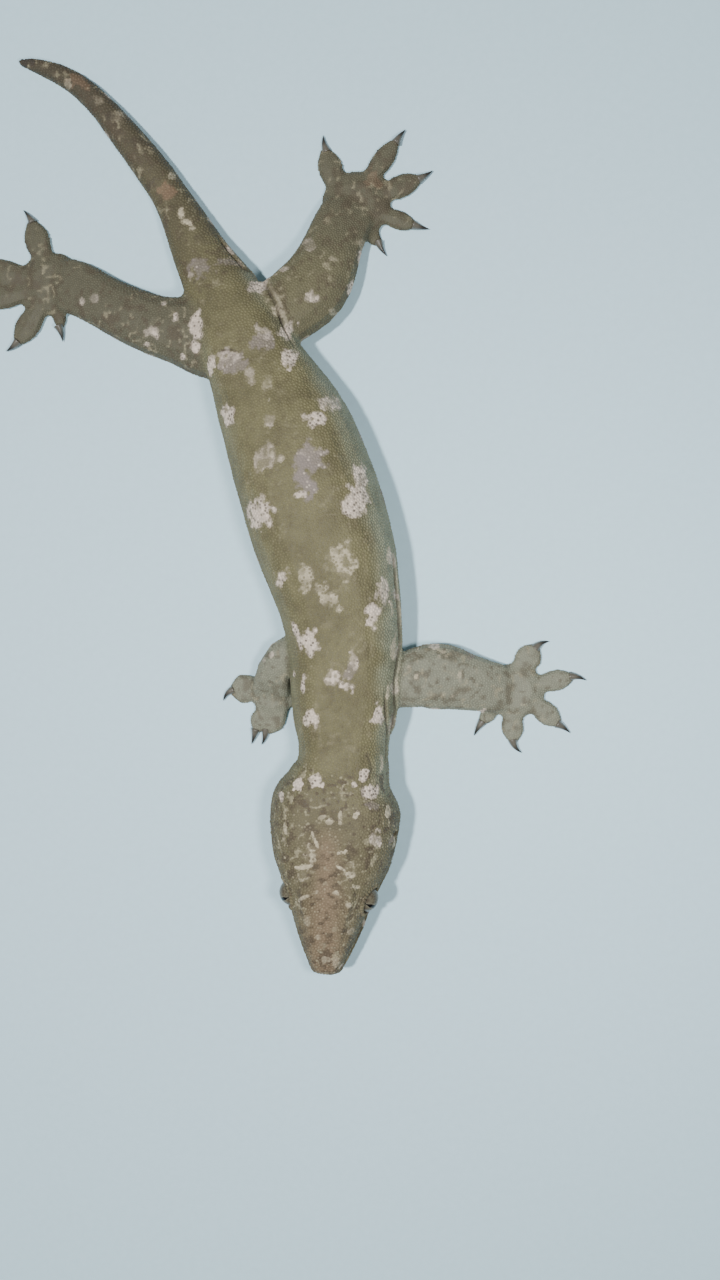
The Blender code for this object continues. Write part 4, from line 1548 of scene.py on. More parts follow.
@dataclass
class Mottle:
    """Small umber patches and straw veins, busiest on the head, tail and limbs, and the dark toe tips.

    Patches crowd in some places, whose own spacing is wider.
    """

    busy: dict[Zone, float] = field(
        default_factory=lambda: {
            Zone.HEAD: 0.80,
            Zone.TRUNK: 0.24,
            Zone.TAIL: 0.60,
            Zone.LIMB: 0.60,
            Zone.FOOT: 0.55,
        }
    )
    patch_spacing: float = 7.0 * MM
    broad_spacing: float = 2.6 * MM
    patch_share: float = 0.35
    broad_step: Pair = (0.05, 0.50)
    specks: Pattern = Pattern(1.15 * MM, 83, 0.36, 0.62)
    veins: Pattern = Pattern(2.3 * MM, 86, 0.20, 0.05, lines=True)
    breaks: Pattern = Pattern(1.3 * MM, 88, -0.05, 0.35)
    vein_step: Pair = (-0.35, 0.20)
    toe_shade: float = 0.75
    toe_step: Pair = (4.6 * MM, 2.2 * MM)

    def paint(self, hide: Hide) -> None:
        """Work out the masks of the patches, veins and toe tips.

        Args:
            hide: The skin.
        """
        points = hide.places
        busy = sum(hide.masks[zone.name.lower()] * share for zone, share in self.busy.items())
        patch = layers(points, self.patch_spacing, seed=77, count=2)
        broad = layers(points, self.broad_spacing, seed=81) + self.patch_share * patch
        umber = np.maximum(ease(broad, *self.broad_step), self.specks.at(points)) * busy
        straw = self.veins.at(points) * self.breaks.at(points) * ease(patch, *self.vein_step) * busy
        for name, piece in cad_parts.items():
            if name.endswith("_claw"):
                centre = read(piece.data.vertices, "co", 3).mean(axis=0)
                gap = np.linalg.norm(points - centre, axis=1)
                umber = np.maximum(umber, self.toe_shade * ease(gap, *self.toe_step))
        hide.masks["umber"] = umber
        hide.masks["straw"] = straw


@dataclass
class Markings:
    """Every pale, dark or rusty marking of the animal as masks on its skin.

    A warp holds the strength, spacing and seed of noise that frays the edges. Strays are the markings on the
    sides that the photo doesn't show.
    """

    photo: Photo
    blotches: tuple[Blotch, ...]
    warps: tuple[tuple[float, float, int], ...] = ((0.50, 2.0 * MM, 3), (0.34, 0.9 * MM, 4))
    net: Pattern = Pattern(1.9 * MM, 8, 0.36, 0.14, lines=True)
    reach: float = 2.2
    edge: float = 0.26
    least_lean: float = 0.5
    seed: int = 7
    stray_gap: float = 9.0 * MM
    stray_size: Pair = (1.4 * MM, 3.0 * MM)
    stray_strength: Pair = (0.4, 0.9)
    stray_pink: float = 0.7
    stray_head: float = 0.55
    stray_lean: Pair = (-0.35, 0.05)
    stray_height: float = 3.0 * MM
    stray_foot: float = 0.3

    def paint(self, hide: Hide) -> None:
        """Work out the masks of all markings.

        Args:
            hide: The skin.
        """
        points = hide.places
        self.warp = sum(share * noise(points, spacing, seed) for share, spacing, seed in self.warps)
        self.laced = self.net.at(points)
        for blotch in self.blotches:
            self.add_seen(hide, blotch)
        self.add_strays(hide)

    def add_seen(self, hide: Hide, blotch: Blotch) -> None:
        """One marking of the photo, laid on the skin at its pixel.

        Args:
            hide: The skin.
            blotch: The marking.
        """
        hit = hide.seen(self.photo, blotch.u, blotch.v)
        if not hit:
            log.warning("no skin at pixel %.0f, %.0f", blotch.u, blotch.v)
            return
        spot, normal = hit
        pixel = (spot - Vector(self.photo.place)).length / self.photo.focal
        axes, half = [], []
        for way, size in (((1.0, 0.0, 0.0), blotch.wide), ((0.0, 1.0, 0.0), blotch.tall)):
            seen = self.photo.axes() @ Vector(way)
            flat = seen - normal * seen.dot(normal)
            axes.append(np.array(flat.normalized()))
            half.append(size * pixel / 2 / max(flat.length, self.least_lean))
        self.add(hide, np.array(spot), axes, half, blotch)

    def add(self, hide: Hide, spot: Array, axes: list[Array], half: list[float], look: Blotch) -> None:
        """Lay one marking on the skin.

        Args:
            hide: The skin.
            spot: The marking's middle.
            axes: Two directions along the skin there.
            half: Half sizes along them.
            look: Its kind, strength and turn.
        """
        off = hide.places - spot
        near = np.flatnonzero(np.linalg.norm(off, axis=1) < max(half) * self.reach)
        off = off[near]
        turn = math.radians(look.turn)
        across, along = off @ axes[0], off @ axes[1]
        first = across * math.cos(turn) + along * math.sin(turn)
        second = along * math.cos(turn) - across * math.sin(turn)
        ring = np.hypot(first / half[0], second / half[1])
        value = ease(1.0 - ring + self.warp[near], 0.0, self.edge) * look.strength
        value = value * (1.0 - look.lace * (1.0 - self.laced[near]))
        mask = hide.masks[look.mark.value]
        mask[near] = np.maximum(mask[near], value)

    def add_strays(self, hide: Hide) -> None:
        """Markings of the same kind on the sides that the photo doesn't show.

        Args:
            hide: The skin.
        """
        dice = np.random.default_rng(self.seed)
        lean = hide.normals[:, 2]
        low, high = self.stray_lean
        open_side = (lean < high) & (lean > low) & (hide.places[:, 2] > self.stray_height)
        open_side &= hide.masks["foot"] < self.stray_foot
        chosen = []
        for k in dice.permutation(np.flatnonzero(open_side)):
            spot = hide.places[k]
            if all(np.linalg.norm(spot - other) > self.stray_gap for other in chosen):
                chosen.append(spot)
                normal = Vector(hide.normals[k])
                along = normal.orthogonal().normalized()
                axes = [np.array(along), np.array(normal.cross(along))]
                scale = self.stray_head if hide.zones[k] == Zone.HEAD.value else 1.0
                size = dice.uniform(*self.stray_size, 2) * scale
                mark = Mark.PINK if dice.random() < self.stray_pink else Mark.MAUVE
                look = Blotch.unseen(mark, dice.uniform(*self.stray_strength))
                self.add(hide, spot, axes, size.tolist(), look)
        log.info("markings: %d from the photo, %d on the unseen sides", len(self.blotches), len(chosen))


@dataclass(frozen=True)
class Scales:
    """Low domes on the skin, each with its masks, lie, half length, half width, height and tone.

    The outline is oval where square is 1 and squarer above. A ring is its share of the outline and of the
    height, from the root up. The patch is a dome's width on the map.
    """

    base: Sample
    values: dict[str, Array]
    along: Array
    long: Array
    wide: Array
    high: Array
    tone: Array
    sides: int = 6
    square: float = 1.0
    rings: tuple[Pair, ...] = ((1.0, -0.35), (0.84, 0.55))
    # Painted shade at each dome's root and painted light on its top, by height
    crown_step: Pair = (-0.35, 0.75)
    patch: float = 0.003

    def mesh(self, name: str) -> Mesh:
        """The domes as one mesh with their masks and map.

        Args:
            name: The mesh's name.

        Returns:
            The mesh.
        """
        count = len(self.base.spots)
        normal = self.base.normals
        first = unit(self.along - normal * (self.along * normal).sum(axis=1, keepdims=True))
        second = np.cross(normal, first)
        angle = turns(self.sides)
        power = 1.0 / self.square
        ring_x = np.sign(np.cos(angle)) * np.abs(np.cos(angle)) ** power
        ring_y = np.sign(np.sin(angle)) * np.abs(np.sin(angle)) ** power
        flat = [(s * ring_x, s * ring_y, np.full(self.sides, h)) for s, h in self.rings]
        flat.append((np.zeros(1), np.zeros(1), np.ones(1)))
        x, y, z = (np.concatenate([row[k] for row in flat]) for k in range(3))
        points = (
            self.base.spots[:, None, :]
            + first[:, None, :] * (x[None, :] * self.long[:, None])[:, :, None]
            + second[:, None, :] * (y[None, :] * self.wide[:, None])[:, :, None]
            + normal[:, None, :] * (z[None, :] * self.high[:, None])[:, :, None]
        )
        size = len(x)
        points = np.clip(points.reshape(-1, 3), *room())
        start = (np.arange(count) * size)[:, None, None]
        turn = np.arange(self.sides)
        after = (turn + 1) % self.sides
        blocks = []
        for k in range(len(self.rings) - 1):
            a, b = k * self.sides, (k + 1) * self.sides
            quads = np.stack([a + turn, a + after, b + after, b + turn], axis=1)
            blocks.append((start + quads[None]).reshape(-1, 4))
        a = (len(self.rings) - 1) * self.sides
        caps = np.stack([a + turn, a + after, np.full(self.sides, size - 1)], axis=1)
        blocks.append((start + caps[None]).reshape(-1, 3))
        mesh = mesh_of(name, points, blocks)
        for key, values in self.values.items():
            if key != "bare":
                store(mesh, key, np.repeat(values, size))
        store(mesh, "tone", np.repeat(self.tone, size))
        # Painted light on each dome's top, painted shade at its root
        store(mesh, "crown", np.tile(ease(z, *self.crown_step), count))
        spread = np.stack([x, y], axis=1)[None] * self.patch / 2
        spots = (self.base.flat[:, None, :] + spread).reshape(-1, 2)
        corners = np.empty(len(mesh.loops), np.int32)
        mesh.loops.foreach_get("vertex_index", corners)
        layer = mesh.uv_layers.new(name=MAP_NAME)
        layer.data.foreach_set("uv", spots[corners].astype(np.float32).ravel())
        return mesh


@dataclass
class Coat:
    """The granular scales all over the skin, set closely and evenly."""

    hide: Hide
    material: Material
    gaps: dict[Zone, float] = field(
        default_factory=lambda: {
            Zone.HEAD: 0.76 * MM,
            Zone.TRUNK: 0.76 * MM,
            Zone.TAIL: 0.78 * MM,
            Zone.LIMB: 0.70 * MM,
            Zone.FOOT: 0.60 * MM,
        }
    )
    belly_gap: float = 1.0 * MM
    tries: int = 480_000
    face_bare: float = 0.6
    scale_bare: float = 0.5
    rounds: int = 3
    neighbours: int = 7
    push_reach: float = 1.15
    push_share: float = 0.22
    piece_limit: int = 10_500
    height: float = 0.17 * MM
    long: Pair = (0.56, 0.64)
    wide: Pair = (0.84, 1.0)
    high: Pair = (0.75, 1.1)
    high_limits: Pair = (0.75, 1.15)
    chance_spread: float = 0.17
    streak_share: float = 0.14
    streak_spacing: float = 2.4 * MM
    streak_stretch: Triple = (1.0, 0.3, 1.0)
    cream_least: float = 0.22
    cream_step: Pair = (0.30, 0.60)
    tan_share: float = 0.36
    tan_step: Pair = (0.62, 0.74)
    tan_groups: Pattern = Pattern(2.6 * MM, 95, -0.25, 0.35)
    speck_step: Pair = (0.46, 0.39)
    speck_clear: float = 0.95
    speck_mauve: float = 0.6
    speck_dark: float = 0.35
    fleck_share: float = 0.5
    fleck_step: Pair = (0.70, 0.76)
    seed: int = 19
    slots: dict[Zone, str] = field(
        default_factory=lambda: {
            Zone.HEAD: "head_skin",
            Zone.TRUNK: "back_skin",
            Zone.TAIL: "tail_skin",
            Zone.LIMB: "limb_skin",
            Zone.FOOT: "foot_skin",
        }
    )

    def build(self) -> None:
        """Scatter the scales, thin them to their gaps, even them out and make the pieces."""
        self.dice = np.random.default_rng(self.seed)
        gap = sum(self.hide.masks[z.name.lower()] * g for z, g in self.gaps.items())
        gap = np.clip(gap, min(self.gaps.values()), max(self.gaps.values()))
        belly = self.hide.masks["belly"] * (1.0 - self.hide.masks["foot"])
        self.gap = gap + (self.belly_gap - gap) * belly
        spots = self.thin(*self.scatter())
        for _ in range(self.rounds):
            spots = self.even(spots)
        self.base = self.hide.sample(spots)
        self.base = self.base.part(self.base.value(self.hide.masks["bare"]) < self.scale_bare)
        self.make()

    def scatter(self) -> tuple[Array, Array]:
        """Random points on the skin, denser where the scales are small, and the gap at each.

        Returns:
            The points, one a row, and the gaps.
        """
        corners, quads = self.hide.face_corners()
        near = corners[quads]
        areas = read(self.hide.mesh.polygons, "area", 1)[:, 0]
        gaps = self.gap[near].mean(axis=1)
        weight = areas / gaps**2 * (self.hide.masks["bare"][near].mean(axis=1) < self.face_bare)
        picks = self.dice.choice(len(areas), self.tries, p=weight / weight.sum())
        u, v = self.dice.random((2, self.tries))
        shares = np.stack([(1 - u) * (1 - v), u * (1 - v), u * v, (1 - u) * v], axis=1)
        spots = (self.hide.places[near[picks]] * shares[:, :, None]).sum(axis=1)
        return spots, gaps[picks]

    def thin(self, spots: Array, gaps: Array) -> Array:
        """Keep points that stay their gap apart.

        Args:
            spots: Points, one a row.
            gaps: The gap of each.

        Returns:
            The points that are kept.
        """
        find = tree_of(spots).find_range
        free = [True] * len(spots)
        kept = []
        for k, (spot, gap) in enumerate(zip(spots.tolist(), gaps.tolist())):
            if free[k]:
                kept.append(k)
                for _, other, _ in find(spot, gap):
                    free[other] = False
        return spots[kept]

    def even(self, spots: Array) -> Array:
        """Push points off their nearest neighbours along the skin.

        Args:
            spots: Points, one a row.

        Returns:
            The points in their new places on the skin.
        """
        find = tree_of(spots).find_n
        near = np.array([[f[1] for f in find(spot, self.neighbours)] for spot in spots.tolist()])[:, 1:]
        off = spots[:, None, :] - spots[near]
        gaps = np.linalg.norm(off, axis=2)
        reach = gaps.mean(axis=1, keepdims=True) * self.push_reach
        push = (off / gaps[:, :, None] * np.clip(reach - gaps, 0.0, None)[:, :, None]).sum(axis=1)
        moved = spots + push * self.push_share
        find = self.hide.tree.find_nearest
        return np.array([find(p)[0] for p in moved.tolist()])

    def looks(self, chance: Array) -> dict[str, Array]:
        """The masks' values at the scales, some of them changed by each scale's own chance.

        Args:
            chance: A number for each scale, mostly near 0.5.

        Returns:
            The masks' values by name.
        """
        values = self.base.all_values(self.hide.masks)
        least = self.cream_least
        values["cream"] = values["cream"] * (least + (1.0 - least) * ease(chance, *self.cream_step))
        tan = ease(chance, *self.tan_step) * self.tan_groups.at(self.base.spots)
        values["straw"] = np.maximum(values["straw"], self.tan_share * tan * values["head"])
        speck = ease(chance, *self.speck_step) * values["pink"]
        values["pink"] = values["pink"] * (1.0 - self.speck_clear * speck)
        values["mauve"] = np.maximum(values["mauve"], self.speck_mauve * speck)
        values["dark"] = np.maximum(values["dark"], self.speck_dark * speck)
        fleck = ease(chance, *self.fleck_step) * values["mauve"] * (1.0 - speck)
        values["pink"] = np.maximum(values["pink"], self.fleck_share * fleck)
        return values

    def make(self) -> None:
        """Make the pieces of every zone, each small enough to store."""
        base, dice = self.base, self.dice
        gap = base.value(self.gap)
        count = len(gap)
        chance = dice.normal(0.5, self.chance_spread, count)
        streaks = noise(base.spots * np.array(self.streak_stretch), self.streak_spacing, seed=91)
        tone = np.clip(chance + self.streak_share * streaks, 0.0, 1.0)
        values = self.looks(chance)
        lie = dice.normal(0.0, 1.0, (count, 3))
        long = gap * dice.uniform(*self.long, count)
        wide = long * dice.uniform(*self.wide, count)
        high = self.height * dice.uniform(*self.high, count)
        high = high * np.clip(gap / self.gaps[Zone.TRUNK], *self.high_limits)
        zones = np.stack([base.value(self.hide.masks[z.name.lower()]) for z in Zone], axis=1).argmax(axis=1)
        for zone in Zone:
            members = np.flatnonzero(zones == zone.value)
            members = members[np.argsort(base.spots[members, 1])]
            parts = max(math.ceil(len(members) / self.piece_limit), 1)
            for k, group in enumerate(np.array_split(members, parts)):
                own = {name: row[group] for name, row in values.items()}
                sizes = (row[group] for row in (lie, long, wide, high, tone))
                scales = Scales(base.part(group), own, *sizes)
                name = f"granules_{zone.name.lower()}_{k + 1}"
                dress(place_piece(name, scales.mesh(name)), self.material)
        log.info("coat: %d granules", count)


def room() -> tuple[Array, Array]:
    """The corners of the solid model's box, a hair inside, which no piece may pass."""
    low, high = (np.array(corner) for corner in CAD_BOX)
    return low + HAIR, high - HAIR


def dress(piece: Object, material: Material) -> None:
    """Give a piece its material and slot, let it ride on the body, and report it.

    Args:
        piece: The piece.
        material: Its material.
    """
    piece.data.materials.append(material)
    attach(piece, BODY)
    log.info("%s: %d faces", piece.name, len(piece.data.polygons))


@dataclass
class FacePlates:
    """The larger scales of the face: plates along both lips and a ring of small ones round each eye.

    A size holds the half length, the half width and the height; a lip plate's length is a share of its step.
    The core is where the search for the lips starts, and the scan holds its reach and step in degrees. The
    lip's end holds the smallest size at the mouth's corners and the length over which it grows.
    """

    hide: Hide
    carver: FaceCarver
    material: Material
    core: Pair = (22.0 * MM, 8.0 * MM)
    cast: float = 60.0 * MM
    scan: Pair = (150.0, 0.5)
    lip_step: float = 2.1 * MM
    lip_size: Triple = (0.54, 0.86 * MM, 0.30 * MM)
    lip_rise: float = 1.05 * MM
    lip_end: Pair = (0.62, 9.0 * MM)
    lip_tone: Pair = (0.4, 0.75)
    rim_count: int = 30
    rim_radius: float = 5.05 * MM
    rim_cast: float = 20.0 * MM
    rim_drop: float = 3.0 * MM
    rim_size: Triple = (0.72 * MM, 0.50 * MM, 0.34 * MM)
    rim_tone: Pair = (0.45, 0.95)
    # Share of the openings' painted shade that the plates keep
    opening_dark: float = 0.1

    def build(self) -> None:
        """Make the lip plates and the rims."""
        self.lips()
        self.rims()

    def mouth_track(self) -> Array:
        """Points along the mouth line, from one corner round the snout to the other.

        Returns:
            The points, one a row.
        """
        plan = self.carver.plan
        behind, height = self.core
        centre = plan.point(behind, 0.0, height)
        half, step = self.scan
        track = []
        for turn in np.radians(np.arange(-half, half + step, step)):
            way = -plan.backward * math.cos(turn) + plan.leftward * math.sin(turn)
            spot = self.hide.tree.ray_cast(Vector(centre + way * self.cast), Vector(-way))[0]
            behind, _, _ = plan.local(np.array(spot))
            if behind < self.carver.corner:
                track.append((spot[0], spot[1], float(self.carver.mouth_height(behind))))
        return np.array(track)

    def lips(self) -> None:
        """Plates above and below the mouth line, from the snout to its corners."""
        track = self.mouth_track()
        run = np.concatenate([[0.0], np.cumsum(np.linalg.norm(np.diff(track, axis=0), axis=1))])
        count = int(run[-1] / self.lip_step) | 1
        end_size, end_run = self.lip_end
        spots, along, half = [], [], []
        for station in (np.arange(count) + 0.5) * run[-1] / count:
            spot = np.array([np.interp(station, run, track[:, k]) for k in range(3)])
            ahead = np.array([np.interp(station + 1.0 * MM, run, track[:, k]) for k in range(3)])
            edge = min(station, run[-1] - station)
            small = end_size + (1.0 - end_size) * min(edge / end_run, 1.0)
            for level in (self.lip_rise, -self.lip_rise):
                spots.append(spot + np.array([0.0, 0.0, level * small]))
                along.append(unit(ahead - spot))
                half.append(small)
        base = self.hide.sample(np.array(spots))
        half = np.array(half)
        tone = np.random.default_rng(seed=3).uniform(*self.lip_tone, len(half))
        long, wide, high = self.lip_size
        scales = Scales(
            base, self.values(base), np.array(along), np.full(len(half), run[-1] / count * long),
            half * wide, half * high, tone,
            sides=16, square=2.2, rings=((1.0, -0.5), (0.93, 0.45), (0.66, 0.9)),
        )
        self.place("lip_plates", scales)

    def rims(self) -> None:
        """Small scales round each eye, standing a little over its edge."""
        for side, centre in self.carver.plan.eyes.items():
            gaze, fore, rise = self.carver.plan.eye_axes(side)
            spots, along = [], []
            for turn in turns(self.rim_count):
                way = fore * math.cos(turn) + rise * math.sin(turn)
                start = centre + way * self.rim_radius + gaze * self.rim_cast
                spot = self.hide.tree.ray_cast(Vector(start), Vector(-gaze))[0]
                if spot is not None and (np.array(spot) - centre) @ gaze > -self.rim_drop:
                    spots.append(tuple(spot))
                    along.append(way)
            base = self.hide.sample(np.array(spots))
            count = len(spots)
            tone = np.random.default_rng(seed=5).uniform(*self.rim_tone, count)
            sizes = (np.full(count, size) for size in self.rim_size)
            scales = Scales(
                base, self.values(base), np.array(along), *sizes, tone,
                sides=12, rings=((1.0, -0.6), (0.9, 0.4), (0.6, 0.88)),
            )
            self.place(side + "_eye_rim", scales)

    def values(self, base: Sample) -> dict[str, Array]:
        """The skin's masks at these scales, without the painted shade of its openings.

        Args:
            base: Where the scales sit.

        Returns:
            The masks' values by name.
        """
        values = base.all_values(self.hide.masks)
        values["dark"] = values["dark"] * self.opening_dark
        return values

    def place(self, name: str, scales: Scales) -> None:
        """Make a piece of the head's scales."""
        dress(place_piece(name, scales.mesh(name)), self.material)


@dataclass
class Eye:
    """One eye: a ball behind a clear scale, with an upright slit pupil whose edges wave.

    The edge holds the strength, distance and half width of the pale line round the pupil. Angles are in
    radians.
    """

    plan: HeadPlan
    side: str
    radius: float = 4.36 * MM
    across: int = 150
    down: int = 100
    sink: float = 0.35 * MM
    ahead: float = 0.30
    slit_reach: float = 1.16
    slit_half: float = 0.165
    slit_blur: float = 0.012
    slit_least: float = 0.004
    lobes: float = 5.0
    wave: float = 0.22
    edge: Triple = (0.7, 0.035, 0.03)
    rim_step: Pair = (0.30, 0.08)

    def build(self, material: Material) -> None:
        """Make the ball in place of the frame's eye.

        Args:
            material: The eye's finish.
        """
        gaze, fore, rise = self.plan.eye_axes(self.side)
        centre = self.plan.eyes[self.side] - gaze * self.sink
        gaze = unit(gaze + fore * self.ahead)
        fore = unit(fore - gaze * (fore @ gaze))
        polar = np.linspace(0.0, math.pi, self.down + 1)[1:-1]
        ring_p, ring_t = np.meshgrid(polar, turns(self.across), indexing="ij")
        ways = np.stack(
            [np.sin(ring_p) * np.cos(ring_t), np.sin(ring_p) * np.sin(ring_t), np.cos(ring_p)], axis=2
        ).reshape(-1, 3)
        ways = np.concatenate([ways, [[0.0, 0.0, 1.0], [0.0, 0.0, -1.0]]])
        places = centre + (ways @ np.stack([fore, rise, gaze])) * self.radius
        quads, index, after = tube(self.down - 1, self.across)
        pole = len(ways) - 2
        faces = [quads, fan(pole, index[0], after[0]), fan(pole + 1, after[-1], index[-1])]
        mesh = mesh_of(self.side + "_eyeball", places, faces)
        self.mark(mesh, ways)
        piece = place_piece(self.side + "_eyeball", mesh)
        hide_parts(self.side + "_eye")
        dress(piece, material)

    def mark(self, mesh: Mesh, ways: Array) -> None:
        """Keep the masks of the pupil, of its pale edge and of the rim, painted shade where the ball sits in
        its socket.

        Args:
            mesh: The ball.
            ways: The way from its middle to each point: forward, up and outward.
        """
        high = np.arcsin(np.clip(ways[:, 1], -1.0, 1.0))
        wide = np.abs(np.arctan2(ways[:, 0], ways[:, 2]))
        wave = 1.0 + self.wave * np.cos(high * self.lobes * 2.0)
        half = self.slit_half * wave * np.sqrt(np.clip(1.0 - (high / self.slit_reach) ** 2, 0.0, 1.0))
        front = ways[:, 2] > 0.0
        pupil = ease(wide, half + self.slit_blur, half - self.slit_blur) * front
        store(mesh, "pupil", pupil * (half > self.slit_least))
        strength, off, edge = self.edge
        line = strength * bell(wide - half - off, edge) * front
        store(mesh, "edge", line * (np.abs(high) < self.slit_reach))
        # Painted shade on the ball's sides and back, where it sits in its socket
        store(mesh, "rim", ease(ways[:, 2], *self.rim_step))


@dataclass
class Claw:
    """One curved claw, rooted in the tip of its toe."""

    name: str
    palm: Array
    rings: int = 14
    sides: int = 14
    root: float = 1.4 * MM
    root_share: float = 0.2
    middle_band: float = 0.6 * MM
    flare: float = 1.85
    taper: float = 0.85
    point: float = 0.03 * MM
    narrow: float = 0.78
    cap: float = 0.1 * MM
    dark_step: Pair = (0.28, 0.78)

    def ends(self) -> tuple[Array, Array, Array]:
        """The points of the frame's claw, how far each lies from the palm, and the middle of its root.

        Returns:
            The points, their distances and the middle.
        """
        points = read(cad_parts[self.name].data.vertices, "co", 3)
        run = (points - self.palm) @ unit(points.mean(axis=0) - self.palm)
        return points, run, points[run < np.quantile(run, self.root_share)].mean(axis=0)

    def start(self) -> Array:
        """Where the claw leaves its toe."""
        return self.ends()[2]

    def build(self, material: Material) -> None:
        """Make the claw along the middle of the frame's claw.

        Args:
            material: The claw's finish.
        """
        points, run, start = self.ends()
        tip = points[run.argmax()]
        middle = points[np.abs(run - (run.min() + run.max()) / 2) < self.middle_band]
        middle = middle.mean(axis=0) if len(middle) else (start + tip) / 2
        rooted = points[run < np.quantile(run, self.root_share)]
        thick = np.linalg.norm(rooted - start, axis=1).max()
        lead = unit(middle - start)
        knots = np.array([start - lead * self.root, start, middle, tip])
        share = np.linspace(0.0, 1.0, self.rings)
        spine = self.bend(knots, share)
        slopes = unit(np.gradient(spine, axis=0))
        side = unit(np.cross(slopes, np.array([0.0, 0.0, 1.0])))
        above = np.cross(side, slopes)
        taper = thick * self.flare * (1.0 - share) ** self.taper + self.point
        turn = turns(self.sides)
        rim = (
            spine[:, None, :]
            + side[:, None, :] * (np.cos(turn) * self.narrow)[None, :, None] * taper[:, None, None]
            + above[:, None, :] * np.sin(turn)[None, :, None] * taper[:, None, None]
        )
        places = np.concatenate([rim.reshape(-1, 3), [spine[0] - lead * self.cap, tip]])
        places = np.clip(places, *room())
        quads, index, after = tube(self.rings, self.sides, flip=True)
        last = self.rings * self.sides
        faces = [quads, fan(last, after[0], index[0]), fan(last + 1, index[-1], after[-1])]
        mesh = mesh_of(self.name + "_horn", places, faces)
        along = np.repeat(ease(share, *self.dark_step), self.sides)
        store(mesh, "along", np.append(along, [0.0, 1.0]))
        piece = place_piece(self.name + "_horn", mesh)
        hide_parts(self.name)
        dress(piece, material)

    def bend(self, knots: Array, share: Array) -> Array:
        """A smooth curve near the knots from the first to the last.

        Args:
            knots: The points.
            share: How far along the curve, from 0 to 1.

        Returns:
            One point for each share.
        """
        t = share[:, None]
        last = len(knots) - 1
        return sum(math.comb(last, k) * (1 - t) ** (last - k) * t**k * knots[k] for k in range(last + 1))


@dataclass
class ClawSet:
    """The claws of both hands and both feet."""

    palms: dict[str, Pair] = field(
        default_factory=lambda: {
            "left_hand": (59.5 * MM, -42.4 * MM),
            "right_hand": (-20.0 * MM, -43.6 * MM),
            "left_foot": (8.2 * MM, 114.0 * MM),
            "right_foot": (-92.5 * MM, 91.5 * MM),
        }
    )
    palm_height: float = 2.0 * MM
    digits: tuple[str, ...] = ("first", "second", "third", "fourth", "fifth")

    def build(self, material: Material) -> list[tuple[Array, Array]]:
        """Make every claw.

        Args:
            material: The claws' finish.

        Returns:
            The middle of the palm and the toe's tip, for each toe.
        """
        toes = []
        for limb, place in self.palms.items():
            palm = np.array([*place, self.palm_height])
            for digit in self.digits:
                claw = Claw(f"{limb}_{digit}_claw", palm)
                claw.build(material)
                toes.append((palm, claw.start()))
        return toes


@dataclass
class Pads:
    """The climbing ridges below every toe, set across it from the tip back.

    A ridge is thick along the toe and tall above the floor. Ridges end where they are clear of the palm.
    """

    hide: Hide
    material: Material
    first: float = 1.6 * MM
    step: float = 0.78 * MM
    count: int = 12
    clear: float = 3.0 * MM
    level: float = 0.7 * MM
    cast: float = 6.0 * MM
    widest: float = 4.2 * MM
    least: float = 0.8 * MM
    inset: float = 0.86
    thick: float = 0.27 * MM
    tall: float = 0.19 * MM
    height: float = 0.24 * MM
    bow: float = 0.9 * MM
    end: float = 0.03
    sides: int = 8
    arcs: int = 10
    # The ridges take a middle level of the painted shading of the crowns
    paint: tuple[tuple[str, float], ...] = (("belly", 0.55), ("tone", 0.6), ("crown", 0.5))

    def build(self, toes: list[tuple[Array, Array]]) -> None:
        """Make the ridges.

        Args:
            toes: The middle of the palm and the toe's tip, for each toe.
        """
        bars = []
        for palm, tip in toes:
            way = tip - palm
            way[2] = 0.0
            way = unit(way)
            across = np.array([-way[1], way[0], 0.0])
            for k in range(self.count):
                spot = tip - way * (self.first + k * self.step)
                if (spot - palm) @ way < self.clear:
                    break
                spot[2] = self.level
                reach = [self.width(spot, across * hand) for hand in (1.0, -1.0)]
                if min(reach) > self.least:
                    bars.append(self.bar(spot, way, across, reach))
        places, faces = join(bars)
        mesh = mesh_of("toe_ridges", np.clip(places, *room()), faces)
        sample = self.hide.sample(places)
        for name, values in self.hide.masks.items():
            if name not in ("bare", "belly", "dark"):
                store(mesh, name, sample.value(values))
        for name, value in self.paint:
            store(mesh, name, np.full(len(places), value))
        dress(place_piece("toe_ridges", mesh), self.material)
        log.info("pads: %d ridges", len(bars))

    def width(self, spot: Array, way: Array) -> float:
        """How far the toe reaches to one side."""
        hit = self.hide.tree.ray_cast(Vector(spot), Vector(way), self.cast)
        return min(hit[3], self.widest) * self.inset if hit[0] else 0.0

    def bar(self, spot: Array, way: Array, across: Array, reach: list[float]) -> tuple[Array, list[Array]]:
        """One ridge, bowed towards the tip and thinner at its ends.

        Args:
            spot: Its middle.
            way: The toe's direction.
            across: The direction across the toe.
            reach: How far it goes to either side.

        Returns:
            Its points and its blocks of faces.
        """
        share = np.linspace(-1.0, 1.0, self.arcs)
        run = np.where(share > 0.0, share * reach[0], share * reach[1])
        bow = (1.0 - share**2) * self.bow
        spine = spot + across * run[:, None] + way * bow[:, None]
        thin = np.sqrt(np.clip(1.0 - np.abs(share) ** 3, self.end, 1.0))
        turn = turns(self.sides)
        rim = spine[:, None, :] + way * (np.cos(turn) * self.thick)[None, :, None] * thin[:, None, None]
        rim[:, :, 2] = self.height + np.sin(turn)[None, :] * self.tall * thin[:, None]
        quads, index, _ = tube(self.arcs, self.sides)
        return rim.reshape(-1, 3), [quads, index[0][None, :], index[-1][None, ::-1]]


